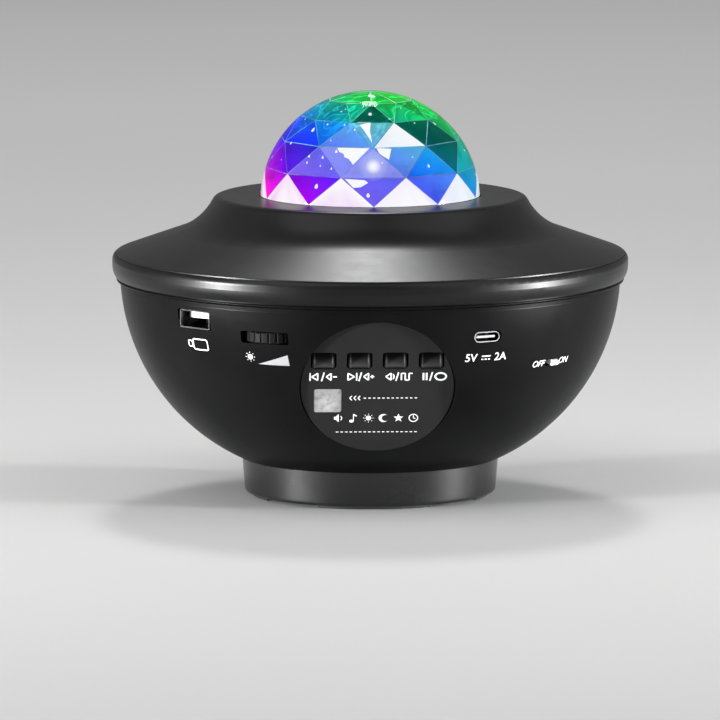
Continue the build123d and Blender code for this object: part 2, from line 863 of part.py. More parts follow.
def usb_a_shell():
    width, height = usb_a_shell_size
    front = -mouth_recess
    back = front - usb_a_shell_length
    shell = bar(width, height, 0.5, back, front)
    shell -= bar(width - 2 * usb_a_sheet, height - 2 * usb_a_sheet, 0.3, back + 1.0, front + 1)
    return usb_a_plane * shell


def usb_a_tongue():
    width, height = usb_a_tongue_size
    back = -mouth_recess - usb_a_shell_length + 1.0
    front = -mouth_recess - usb_a_tongue_recess
    tongue_y = usb_a_shell_size[1] / 2 - usb_a_sheet - 0.5 - height / 2
    tongue = Pos(0, tongue_y, 0) * bar(width, height, 0.3, back, front)
    inner_height = usb_a_shell_size[1] - 2 * usb_a_sheet
    root = bar(width + 1, inner_height - 0.1, 0.3, back, back + 2.0)
    return usb_a_plane * (tongue + root)


def usb_c_shell():
    width, height = usb_c_shell_size
    front = -mouth_recess
    back = front - usb_c_shell_length
    shell = bar(width, height, height / 2 - 0.01, back, front)
    inner_width = width - 2 * usb_c_sheet
    inner_height = height - 2 * usb_c_sheet
    shell -= bar(inner_width, inner_height, inner_height / 2 - 0.01, back + 0.8, front + 1)
    return usb_c_plane * shell


def usb_c_tongue():
    width, height = usb_c_tongue_size
    back = -mouth_recess - usb_c_shell_length + 0.8
    tongue = bar(width, height, 0.3, back, -mouth_recess - usb_c_tongue_recess)
    root = bar(width + 0.6, usb_c_shell_size[1] - 2 * usb_c_sheet - 0.1, 0.9, back, back + 1.2)
    return usb_c_plane * (tongue + root)


def dimmer_wheel():
    """Thumbwheel with ribs round its rim and the bore for its pin."""
    wheel = disc(dimmer_wheel_radius, dimmer_low_z, dimmer_low_z + dimmer_wheel_thickness)
    wheel = chamfer(wheel.edges().filter_by(GeomType.CIRCLE), 0.35)
    below, above = dimmer_low_z - 1, dimmer_low_z + dimmer_wheel_thickness + 1
    wheel -= disc(dimmer_pin_radius + running_gap, below, above)
    notch = disc(dimmer_notch_radius, below, above)
    notch_circle = dimmer_wheel_radius + dimmer_notch_radius - dimmer_rib_depth
    for rib in range(dimmer_ribs):
        wheel -= place(rib * 360 / dimmer_ribs, notch_circle) * notch
    return place(dimmer_azimuth, dimmer_axis_radius) * wheel


def dimmer_body():
    """Potentiometer below the wheel, with the pin that the wheel turns on."""
    top = dimmer_low_z - 0.3
    low = top - dimmer_body_height
    back = dimmer_wheel_radius + 1.0
    floor = block(dimmer_body_width, back + dimmer_tail + 4, dimmer_body_height)
    tail = block(dimmer_body_width, dimmer_tail, board_top_z + 1.2 - low)
    body = Pos(0, (back + dimmer_tail - 4) / 2, low) * floor
    body += Pos(0, back + dimmer_tail / 2, low) * tail
    body += disc(dimmer_pin_radius, top - 0.5, dimmer_low_z + dimmer_wheel_thickness)
    return place(dimmer_azimuth, dimmer_axis_radius) * (Rot(0, 0, dimmer_azimuth) * body)


def power_switch_body():
    width, height = power_body
    low = -power_seat_depth - power_body_depth
    body = bar(width, height, 0.3, low, -power_seat_depth)
    plate = bar(power_ears, height, 1.0, -power_seat_depth - 0.5, -power_seat_depth)
    ear_reach = (width + power_ears) / 4
    for side in (-1, 1):
        plate -= Pos(side * ear_reach, 0, 0) * disc(small_screw_radius + screw_gap, low, 0)
    channel = bar(power_knob[0] + power_travel + 0.6, power_knob[1] + 0.3, 0.4, -power_seat_depth - 2.5, 1)
    return power_plane * (body + plate - channel)


def power_switch_knob():
    """Sliding knob at its ON end."""
    knob = bar(*power_knob, 0.4, -power_seat_depth - 2.3, power_knob_proud)
    return power_plane * (Pos(power_knob_rest, 0, 0) * knob)


def power_screws():
    ear_reach = (power_body[0] + power_ears) / 4
    seat = -power_seat_depth - 0.5
    fixing = screw(seat, 1.8, True, small_screw_radius, 1.1, 0.7)
    return [power_plane * (Pos(side * ear_reach, 0, 0) * fixing) for side in (-1, 1)]


# ---------------------------------------------------------------- main board


def main_board():
    outer = bowl_radius(board_under_z, shell_wall) - board_outer_gap
    ring = tube(outer, board_inner_radius, board_under_z, board_top_z)
    reach = 2 * outer
    half = math.radians(board_half_angle)
    wedge = extrude(
        Pos(0, 0, board_under_z)
        * make_face(
            Polyline(
                (0, 0),
                (-reach * math.sin(half), -reach * math.cos(half)),
                (-reach, -2 * reach),
                (reach, -2 * reach),
                (reach * math.sin(half), -reach * math.cos(half)),
                close=True,
            )
        ),
        board_thickness,
    )
    board = ring & wedge
    below, above = board_under_z - 1, board_top_z + 1
    front_cut = block(2 * board_front_half_width, outer, above - below)
    board -= Pos(0, -board_front_cut - outer / 2, below) * front_cut
    for azimuth in board_boss_azimuths:
        board -= place(azimuth, board_boss_radius) * disc(screw_radius + screw_gap, below, above)
    wheel_room = disc(dimmer_wheel_radius + 0.8, below, above)
    tail_y = dimmer_wheel_radius + 1.0 + dimmer_tail / 2
    body_room = block(dimmer_body_width + 0.3, tail_y + dimmer_tail + 0.3, above - below)
    body_room = Pos(0, tail_y / 2, below) * body_room
    board -= place(dimmer_azimuth, dimmer_axis_radius) * (wheel_room + Rot(0, 0, dimmer_azimuth) * body_room)
    width, height = usb_c_shell_size
    notch = bar(width + 0.2, 8, 0.3, -mouth_recess - usb_c_shell_length - 0.1, 6)
    return board - usb_c_plane * notch


def board_screws():
    screws = []
    for azimuth in board_boss_azimuths:
        screws.append(place(azimuth, board_boss_radius) * screw(board_top_z, board_thickness + 7, False))
    return screws


def wireless_module():
    """Radio module with its shield can, on the inner half of the main board."""
    carrier = block(17, 12, 0.8)
    can = Pos(2, 0, 0.8) * block(11.5, 10.5, 1.7)
    return turned(Pos(0, -51.2, board_top_z) * (carrier + can), -10)


def board_components():
    """Capacitors, coil, chips and lead connectors standing on the main board."""
    pieces = []
    for azimuth, radius, size, height in ((-55, 55.5, 3.2, 9), (-49, 51.5, 3.2, 9), (56, 55, 4.0, 10)):
        can = fillet(disc(size, 0, height).edges().filter_by(GeomType.CIRCLE).sort_by(Axis.Z)[-1], 0.5)
        pieces.append(place(azimuth, radius, board_top_z) * can)
    for azimuth, radius, width, depth, height in (
        (-38, 52, 7, 7, 1.2), (13, 51.5, 9, 6, 1.6), (24, 53, 6, 5, 1.6), (43.5, 54, 8, 8, 4.2)
    ):
        pieces.append(turned(Pos(0, -radius, board_top_z) * block(width, depth, height), azimuth))
    for azimuth in (-62.5, 33.5):
        housing = block(7.5, 5.0, 5.5) - Pos(0, 0, 1) * block(6.1, 3.6, 6)
        pieces.append(turned(Pos(0, -50, board_top_z) * housing, azimuth))
    return pieces


# ---------------------------------------------------------------- optics


def optics_deck():
    """Deck under the crown: plate, collar under the dome's flange, and legs down to the heat sink."""
    inner = rotor_tip_radius + rotor_gap
    deck = tube(deck_radius, inner, deck_under_z, deck_top_z)
    collar_outer = dome_base_radius + dome_flange_width - 0.3
    deck += tube(collar_outer, collar_outer - collar_wall, deck_under_z, dome_flange_z)
    deck -= Pos(*idler_place) * disc(pinion_tip_radius + rotor_gap, deck_under_z - 1, deck_top_z + 1)
    screw_hole = disc(screw_radius + screw_gap, deck_under_z - 1, deck_top_z + 1)
    for azimuth in deck_screw_azimuths:
        deck -= place(azimuth, deck_screw_radius) * screw_hole
    leg = disc(leg_radius, sink_top_z, deck_top_z)
    leg_hole = disc(small_screw_radius + screw_gap, sink_top_z - 1, sink_top_z + 7)
    for azimuth in leg_azimuths:
        deck += place(azimuth, leg_circle) * leg
        deck -= place(azimuth, leg_circle) * leg_hole
    for x, y in gear_plate_posts():
        deck += Pos(x, y) * disc(small_boss_radius, gear_plate_top_z, deck_top_z)
        deck -= Pos(x, y) * disc(small_screw_radius + screw_gap, gear_plate_top_z - 1, deck_under_z)
    return deck


def gear_plate_posts():
    """Places of the posts that carry the gear plate."""
    return (
        (-14.0, idler_distance + 4.0),
        (motor_place[0] + 12.0, idler_distance - 1.5),
        (2.0, idler_distance + 14.6),
    )


def deck_screws():
    screws = []
    for azimuth in deck_screw_azimuths:
        length = deck_thickness + crown_under_z - deck_top_z - 0.8
        screws.append(place(azimuth, deck_screw_radius) * screw(deck_under_z, length))
    return screws


def rotor_gear():
    """Ring gear on three spokes, turning on the laser post and carrying the ripple lens."""
    low = rotor_low_z
    high = low + rotor_width
    inner = rotor_pitch_radius - 1.25 * gear_module - rotor_rim
    rim = gear(gear_module, rotor_teeth, low, high, 90) - disc(inner, low - 1, high + 1)
    hub_radius = post_radius + running_gap
    hub = tube(hub_radius + 1.8, hub_radius, low - 0.8, high + ripple_thickness)
    rotor = rim + hub
    for spoke in range(3):
        arm = block(inner - hub_radius + 0.5, rotor_spoke_width, rotor_width - 0.8)
        arm = Pos((inner + hub_radius + 1.5) / 2, 0, low) * arm
        rotor += Rot(0, 0, 30 + 120 * spoke) * arm
    return rotor


def ripple_lens():
    """Clear disc with a rippled top, seated on the rotor's rim."""
    low = rotor_low_z + rotor_width
    inner = post_radius + running_gap + 1.8 + 0.1
    outer = rotor_pitch_radius - 1.25 * gear_module - 0.4
    ripples = [(inner, low), (outer, low), (outer, low + ripple_thickness)]
    steps = 2 * ripple_rings
    for step in range(1, steps):
        radius = outer - (outer - inner) * step / steps
        ripples.append((radius, low + ripple_thickness - (0.6 if step % 2 else 0.0)))
    ripples.append((inner, low + ripple_thickness))
    return turned_outline(*ripples)


def retaining_ring():
    """Ring on the post that keeps the rotor down."""
    low = rotor_low_z + rotor_width + ripple_thickness + end_gap
    return tube(post_radius + 1.6, post_radius, low, low + 0.8)


def laser_post():
    """Tube on the axis that carries the laser and is the rotor's journal."""
    low = sink_top_z - sink_base
    flange_top = rotor_low_z - 0.8 - end_gap
    post = disc(post_radius, low, post_top_z)
    post += disc(post_radius + post_flange, flange_top - post_flange_height, flange_top)
    return post - disc(post_bore, low - 1, post_top_z - 1.2) - disc(2.2, low, post_top_z + 1)


def laser_module():
    high = post_top_z - 1.2
    body = disc(laser_radius, high - laser_length, high)
    return body - disc(1.4, high - 1.5, high + 1)


def laser_grating():
    return disc(3.6, post_top_z, post_top_z + 0.8)


def heat_sink():
    """Finned plate behind the light board, hung from the deck's legs by three ears."""
    base_z = sink_top_z - sink_base
    sink = disc(sink_radius, base_z, sink_top_z)
    for azimuth in leg_azimuths:
        ear = Pos(0, -leg_circle / 2 - 6, base_z) * block(9, leg_circle - 12, sink_base)
        sink += turned(ear, azimuth)
        sink += place(azimuth, leg_circle) * disc(4.5, base_z, sink_top_z)
    count = int(sink_radius // sink_fin_pitch)
    for number in range(-count, count + 1):
        fin_x = number * sink_fin_pitch
        half_chord = math.sqrt(sink_radius**2 - fin_x**2)
        fin = block(sink_fin, 1.9 * half_chord, sink_fin_height + 0.2)
        sink += Pos(fin_x, 0, base_z - sink_fin_height) * fin
    sink -= disc(post_radius + screw_gap, base_z - sink_fin_height - 1, sink_top_z + 1)
    for azimuth in leg_azimuths:
        sink -= place(azimuth, leg_circle) * disc(small_screw_radius + screw_gap, base_z - 1, sink_top_z + 1)
    return sink


def sink_screws():
    base_z = sink_top_z - sink_base
    return [place(azimuth, leg_circle) * small_screw(base_z, sink_base + 5) for azimuth in leg_azimuths]


def led_places():
    return [360 / led_count * (number + 0.5) for number in range(led_count)]


def led_board():
    return tube(led_board_radius, post_radius + screw_gap, sink_top_z, led_board_top_z)


def led_emitters():
    emitters = []
    for azimuth in led_places():
        chip = block(led_side, led_side, led_height - 0.9)
        chip += Pos(0, 0, led_height - 0.95) * (Sphere(1.3) & disc(2, 0, 2))
        emitters.append(place(azimuth, led_circle, led_board_top_z) * chip)
    return emitters


def lens_holder():
    low = led_board_top_z
    high = low + lens_height
    holder = disc(holder_radius, low, high - 1.2) - disc(post_radius + screw_gap, low - 1, high + 1)
    for azimuth in led_places():
        holder -= place(azimuth, led_circle) * disc(lens_radius + 0.05, low + led_height + 0.6, high)
        holder -= place(azimuth, led_circle) * disc(lens_radius - 0.8, low - 1, high)
    return holder


def led_lenses():
    """Collimators, a cone under a flat rim."""
    low = led_board_top_z + led_height + 0.6
    high = led_board_top_z + lens_height - 0.8
    lens = turned_outline(
        (0, low), (lens_radius - 0.5, low), (lens_radius, low + 0.5), (lens_radius, high), (0, high + 0.4)
    )
    return [place(azimuth, led_circle) * lens for azimuth in led_places()]


# ---------------------------------------------------------------- drive


def gear_plate():
    """Plate below the deck that carries the motor and the idler's pin."""
    pads = Pos(*motor_place) * Circle(motor_radius + 1.0) + Pos(*idler_place) * Circle(4.5)
    for x, y in gear_plate_posts():
        pads += Pos(x, y) * Circle(4.0)
    plate = Pos(0, 0, gear_plate_z) * extrude(make_hull(pads.edges()), gear_plate_thickness)
    low, high = gear_plate_z - 1, gear_plate_top_z + 1
    plate -= Pos(*motor_place) * disc(motor_bearing[0] + 0.1, low, high)
    plate -= Pos(*idler_place) * disc(idler_pin_radius, low, high)
    for x, y in motor_screw_places() + gear_plate_posts():
        plate -= Pos(x, y) * disc(small_screw_radius + screw_gap, low, high)
    return plate


def motor_screw_places():
    """Two screws beside the motor's bearing, clear of the idler's wheel."""
    turn = math.radians(motor_turn + 90)
    half = motor_screw_pitch / 2
    return tuple(
        (motor_place[0] + side * half * math.cos(turn), motor_place[1] + side * half * math.sin(turn))
        for side in (-1, 1)
    )


def idler_gear():
    """Wheel driven by the motor and, on the same hub, the pinion that drives the rotor."""
    low = gear_plate_top_z + end_gap + 0.3
    wheel_high = low + idler_wheel_width
    pinion_high = rotor_low_z + rotor_width + 0.2
    half_tooth = 180 / pinion_teeth
    wheel = gear(drive_module, idler_teeth, low, wheel_high, motor_turn)
    pinion = gear(gear_module, pinion_teeth, wheel_high - 0.1, pinion_high, 270 + half_tooth)
    bore = disc(idler_pin_radius + running_gap, low - 1, pinion_high + 1)
    return Pos(*idler_place) * (wheel + pinion - bore)


def idler_axle():
    top = rotor_low_z + rotor_width + 0.8
    return Pos(*idler_place) * disc(idler_pin_radius, gear_plate_z, top)


def drive_motor():
    """Motor can under the gear plate, with its bearing boss through the plate."""
    high = gear_plate_z
    can = disc(motor_radius, high - motor_length, high)
    can = fillet(can.edges().filter_by(GeomType.CIRCLE).sort_by(Axis.Z)[0], 1.0)
    bearing_radius, bearing_height = motor_bearing
    can += disc(bearing_radius, high - 0.1, high + bearing_height)
    can -= disc(motor_shaft_radius + running_gap, high - 6, high + bearing_height + 1)
    can = Pos(*motor_place) * can
    for x, y in motor_screw_places():
        can -= Pos(x, y) * disc(small_screw_radius + screw_gap, high - 3, high + 1)
    return can


def motor_pinion():
    """Pinion and motor shaft."""
    low = gear_plate_top_z + end_gap + 0.3
    half_tooth = 180 / drive_teeth
    pinion = gear(drive_module, drive_teeth, low, low + idler_wheel_width, motor_turn + 180 + half_tooth)
    shaft = disc(motor_shaft_radius, gear_plate_z - 5.6, low + idler_wheel_width + 0.4)
    return Pos(*motor_place) * (pinion + shaft)


def motor_screws():
    seat = gear_plate_top_z
    screws = []
    flat_screw = screw(seat, gear_plate_thickness + 2.6, False, small_screw_radius, 1.4, 0.3)
    for x, y in motor_screw_places():
        screws.append(Pos(x, y) * flat_screw)
    for x, y in gear_plate_posts():
        screws.append(Pos(x, y) * small_screw(gear_plate_z, gear_plate_thickness + 4.5))
    return screws


# ---------------------------------------------------------------- speaker


def speaker_basket():
    low = speaker_seat_z
    seat = low + speaker_flange
    wall_inner = surround_radius + surround_land + 0.6
    basket = turned_outline(
        (surround_radius - 0.3, low), (speaker_radius, low), (speaker_radius, seat),
        (wall_inner + 0.6, seat), (spider_radius + 1.2, frame_top_z), (coil_bore, frame_top_z),
        (coil_bore, frame_top_z - 1.2), (spider_radius + 0.2, frame_top_z - 1.2),
        (wall_inner, seat), (surround_radius - 0.3, seat),
    )
    for window in range(4):
        opening = Pos(0, -18.5, seat + 1.2) * block(15, 12, speaker_frame_height - speaker_flange - 3.6)
        basket -= turned(opening, 45 + 90 * window)
    for azimuth in speaker_screw_azimuths:
        hole = disc(small_screw_radius + screw_gap, low - 1, seat + 1)
        basket -= place(azimuth, speaker_screw_circle) * hole
    return basket


def speaker_top_plate():
    return tube(magnet_radius - 1.5, coil_bore, frame_top_z, frame_top_z + pole_plate)


def speaker_magnet():
    low = frame_top_z + pole_plate
    return tube(magnet_radius, magnet_bore, low, low + magnet_height)


def speaker_yoke():
    """Back plate and pole of the magnet system."""
    low = frame_top_z + pole_plate + magnet_height
    plate = disc(magnet_radius - 0.5, low, low + pole_plate)
    pole = disc(coil_radius - coil_gap, frame_top_z, low + 0.1)
    return plate + pole


def cap_arc(pole_z, edge_radius, edge_z, outwards=True):
    """Arc of a spherical cap, from its pole on the axis to its edge or back."""
    height = edge_z - pole_z
    radius = (height**2 + edge_radius**2) / (2 * height)
    half = math.asin(edge_radius / radius) / 2
    middle = (radius * math.sin(half), pole_z + radius * (1 - math.cos(half)))
    ends = ((0, pole_z), (edge_radius, edge_z))
    start, end = ends if outwards else reversed(ends)
    return ThreePointArc(start, middle, end)


def speaker_cone():
    """Paper cone with its dust cap, open downwards."""
    inner = coil_radius
    pole_z = cone_apex_z - cap_height
    cap_edge = inner + cone_wall
    cap_edge_z = cone_apex_z - cone_wall * cone_depth / (cone_radius - inner)
    return turned_profile(
        Line((0, pole_z + cone_wall), (0, pole_z)),
        cap_arc(pole_z, cap_edge, cap_edge_z),
        Line((cap_edge, cap_edge_z), (cone_radius, cone_edge_z)),
        Line((cone_radius, cone_edge_z), (cone_radius, cone_edge_z + cone_wall)),
        Line((cone_radius, cone_edge_z + cone_wall), (cap_edge, cone_apex_z + cone_wall)),
        Line((cap_edge, cone_apex_z + cone_wall), (inner, cone_apex_z + cone_wall)),
        Line((inner, cone_apex_z + cone_wall), (inner, cone_apex_z + 0.1)),
        cap_arc(pole_z + cone_wall, inner, cone_apex_z + 0.1, False),
    )


def voice_coil():
    low = cone_apex_z + cone_wall
    return tube(coil_radius + coil_wall, coil_radius, low, low + coil_length)


def speaker_surround():
    """Half-roll of rubber from the cone's edge to the basket."""
    z = speaker_seat_z + speaker_flange
    inner_edge = cone_radius - 0.2
    outer_edge = surround_radius + surround_land
    middle = (cone_radius + surround_radius) / 2
    roll = (surround_radius - cone_radius) / 2
    top = z + surround_sheet
    return turned_profile(
        Line((inner_edge, z), (middle - roll, z)),
        ThreePointArc((middle - roll, z), (middle, z + roll), (middle + roll, z)),
        Line((middle + roll, z), (outer_edge, z)),
        Line((outer_edge, z), (outer_edge, top)),
        Line((outer_edge, top), (middle + roll + surround_sheet * 0.6, top)),
        ThreePointArc(
            (middle + roll + surround_sheet * 0.6, top),
            (middle, z + roll + surround_sheet),
            (middle - roll - surround_sheet * 0.6, top),
        ),
        Line((middle - roll - surround_sheet * 0.6, top), (inner_edge, top)),
        Line((inner_edge, top), (inner_edge, z)),
    )


def speaker_spider():
    """Corrugated cloth ring that centres the voice coil in the basket."""
    top = frame_top_z - 1.2
    inner = coil_radius + coil_wall + 0.1
    waves = 4
    land = spider_radius - 1.3
    step = (land - inner - 0.8) / (2 * waves)
    crest = [(land - step * number, top - (0.9 if number % 2 else 0.0)) for number in range(2 * waves + 1)]
    crest.append((inner, crest[-1][1]))
    under = [(radius, z - surround_sheet) for radius, z in reversed(crest)]
    return turned_outline((spider_radius, top), *crest, *under, (spider_radius, top - surround_sheet))


def speaker_screws():
    fixing = small_screw(speaker_seat_z + speaker_flange, speaker_flange + 1.6, False)
    return [place(azimuth, speaker_screw_circle) * fixing for azimuth in speaker_screw_azimuths]


def base_screws():
    length = floor_z + 5 - base_head_z
    return [place(azimuth, base_screw_radius) * screw(base_head_z, length) for azimuth in base_screw_azimuths]


# ---------------------------------------------------------------- write every node

os.makedirs("parts", exist_ok=True)

write("top_cover", top_cover())
write("bowl_shell", bowl_shell())
write("base_foot", base_foot())
write("foot_pads", *foot_pads())
write("dome_lens", dome_lens())
write("control_panel", control_panel())
write("ir_window", ir_window())
for node, (button_x, button_y) in zip(
    ("previous_button", "next_button", "mode_button", "play_button"), button_places()
):
    write(node, button(button_x, button_y))
write("key_board", key_board())
write("tact_switches", *tact_switches())
write("ir_receiver", ir_receiver())
write("usb_a_shell", usb_a_shell())
write("usb_a_tongue", usb_a_tongue())
write("usb_c_shell", usb_c_shell())
write("usb_c_tongue", usb_c_tongue())
write("dimmer_wheel", dimmer_wheel())
write("dimmer_body", dimmer_body())
write("power_switch_body", power_switch_body())
write("power_switch_knob", power_switch_knob())
write("main_board", main_board())
write("wireless_module", wireless_module())
write("board_components", *board_components())
write("optics_deck", optics_deck())
write("rotor_gear", rotor_gear())
write("ripple_lens", ripple_lens())
write("retaining_ring", retaining_ring())
write("laser_post", laser_post())
write("laser_module", laser_module())
write("laser_grating", laser_grating())
write("heat_sink", heat_sink())
write("led_board", led_board())
write("led_emitters", *led_emitters())
write("lens_holder", lens_holder())
write("led_lenses", *led_lenses())
write("gear_plate", gear_plate())
write("idler_gear", idler_gear())
write("idler_axle", idler_axle())
write("drive_motor", drive_motor())
write("motor_pinion", motor_pinion())
write("speaker_basket", speaker_basket())
write("speaker_top_plate", speaker_top_plate())
write("speaker_magnet", speaker_magnet())
write("speaker_yoke", speaker_yoke())
write("speaker_cone", speaker_cone())
write("voice_coil", voice_coil())
write("speaker_surround", speaker_surround())
write("speaker_spider", speaker_spider())
write("deck_screws", *deck_screws())
write("sink_screws", *sink_screws())
write("motor_screws", *motor_screws())
write("key_screws", *key_screws())
write("power_screws", *power_screws())
write("board_screws", *board_screws())
write("speaker_screws", *speaker_screws())
write("base_screws", *base_screws())
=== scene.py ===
import json
import math
import random

import bmesh
import bpy
from mathutils import Matrix, Vector
from mathutils.geometry import intersect_ray_tri


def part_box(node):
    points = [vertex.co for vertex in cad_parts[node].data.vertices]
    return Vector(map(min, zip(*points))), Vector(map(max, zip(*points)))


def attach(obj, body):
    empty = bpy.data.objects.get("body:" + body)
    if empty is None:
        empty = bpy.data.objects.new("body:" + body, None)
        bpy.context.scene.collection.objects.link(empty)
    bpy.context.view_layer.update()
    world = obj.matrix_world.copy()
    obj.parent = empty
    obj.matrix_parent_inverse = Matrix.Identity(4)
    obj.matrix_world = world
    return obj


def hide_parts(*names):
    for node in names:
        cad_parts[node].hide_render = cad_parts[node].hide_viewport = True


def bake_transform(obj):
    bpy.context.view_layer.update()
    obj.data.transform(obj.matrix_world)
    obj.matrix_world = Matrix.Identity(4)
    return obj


# Star night light projector: finishes, lit dome, printed marks, soft speaker surround, studio, camera.
# Metres, +Z up, the control panel at the front (-Y). Printed marks are drawn in millimetres.

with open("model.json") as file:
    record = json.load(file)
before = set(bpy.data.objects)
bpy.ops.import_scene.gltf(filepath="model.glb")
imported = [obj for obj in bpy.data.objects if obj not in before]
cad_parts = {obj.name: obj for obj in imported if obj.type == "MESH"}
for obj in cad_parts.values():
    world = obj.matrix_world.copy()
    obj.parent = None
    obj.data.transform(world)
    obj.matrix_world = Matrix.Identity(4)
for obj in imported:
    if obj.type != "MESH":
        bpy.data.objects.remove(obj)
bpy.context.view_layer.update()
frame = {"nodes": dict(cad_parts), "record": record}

MM = 0.001
MICRON = 0.001 * MM
NODES = frame["nodes"]
RECORD = frame["record"]
SLOT_OF = {part["node"]: part["material_slot"] for part in RECORD["subparts"]}
BODY_OF = {node: body for body, nodes in RECORD["behaviour"]["bodies"].items() for node in nodes}
HOUSING = BODY_OF["bowl_shell"]

# ---------------------------------------------------------------- objects


def new_object(name, data):
    """Object with the data, in the scene."""
    thing = bpy.data.objects.new(name, data)
    bpy.context.scene.collection.objects.link(thing)
    return thing


def mesh_object(name, bm, material):
    """Object from a finished bmesh, which is freed, with one material."""
    mesh = bpy.data.meshes.new(name)
    bm.to_mesh(mesh)
    bm.free()
    mesh.materials.append(material)
    return new_object(name, mesh)


def paint(node, material):
    """Gives a CAD node a material in place of its plain one."""
    NODES[node].data.materials.clear()
    NODES[node].data.materials.append(material)


# ---------------------------------------------------------------- camera

CAMERA_AZIMUTH = -1.8
CAMERA_ELEVATION = 7.5
CAMERA_DISTANCE = 3.0
CAMERA_REACH = 50
CAMERA_SENSOR = 36.0
PHOTO_WIDTH_PIXELS = 720
MM_PER_PIXEL = 0.32
VIEW_WIDTH = PHOTO_WIDTH_PIXELS * MM_PER_PIXEL * MM
AIM_HEIGHT = 64 * MM
AIM_LEFT = 3.264 * MM
AIM_DOWN = 21.024 * MM


def direction(azimuth, elevation):
    """Unit vector from the object, azimuth from the front towards +X, elevation above the floor."""
    a = math.radians(azimuth)
    e = math.radians(elevation)
    return Vector((math.sin(a) * math.cos(e), -math.cos(a) * math.cos(e), math.sin(e)))


def look(place, target):
    """Matrix of a camera or lamp at place that faces target, upright."""
    turn = (target - place).to_track_quat("-Z", "Y")
    return Matrix.Translation(place) @ turn.to_matrix().to_4x4()


def make_camera():
    data = bpy.data.cameras.new("camera")
    data.sensor_width = CAMERA_SENSOR
    data.lens = CAMERA_SENSOR * CAMERA_DISTANCE / VIEW_WIDTH
    data.clip_end = CAMERA_REACH
    camera = new_object("camera", data)
    back = direction(CAMERA_AZIMUTH, CAMERA_ELEVATION)
    side = Vector((0, 0, 1)).cross(back).normalized()
    up = back.cross(side)
    target = Vector((0, 0, AIM_HEIGHT)) - side * AIM_LEFT - up * AIM_DOWN
    camera.matrix_world = look(target + back * CAMERA_DISTANCE, target)
    bpy.context.scene.camera = camera


make_camera()

# ---------------------------------------------------------------- material tools


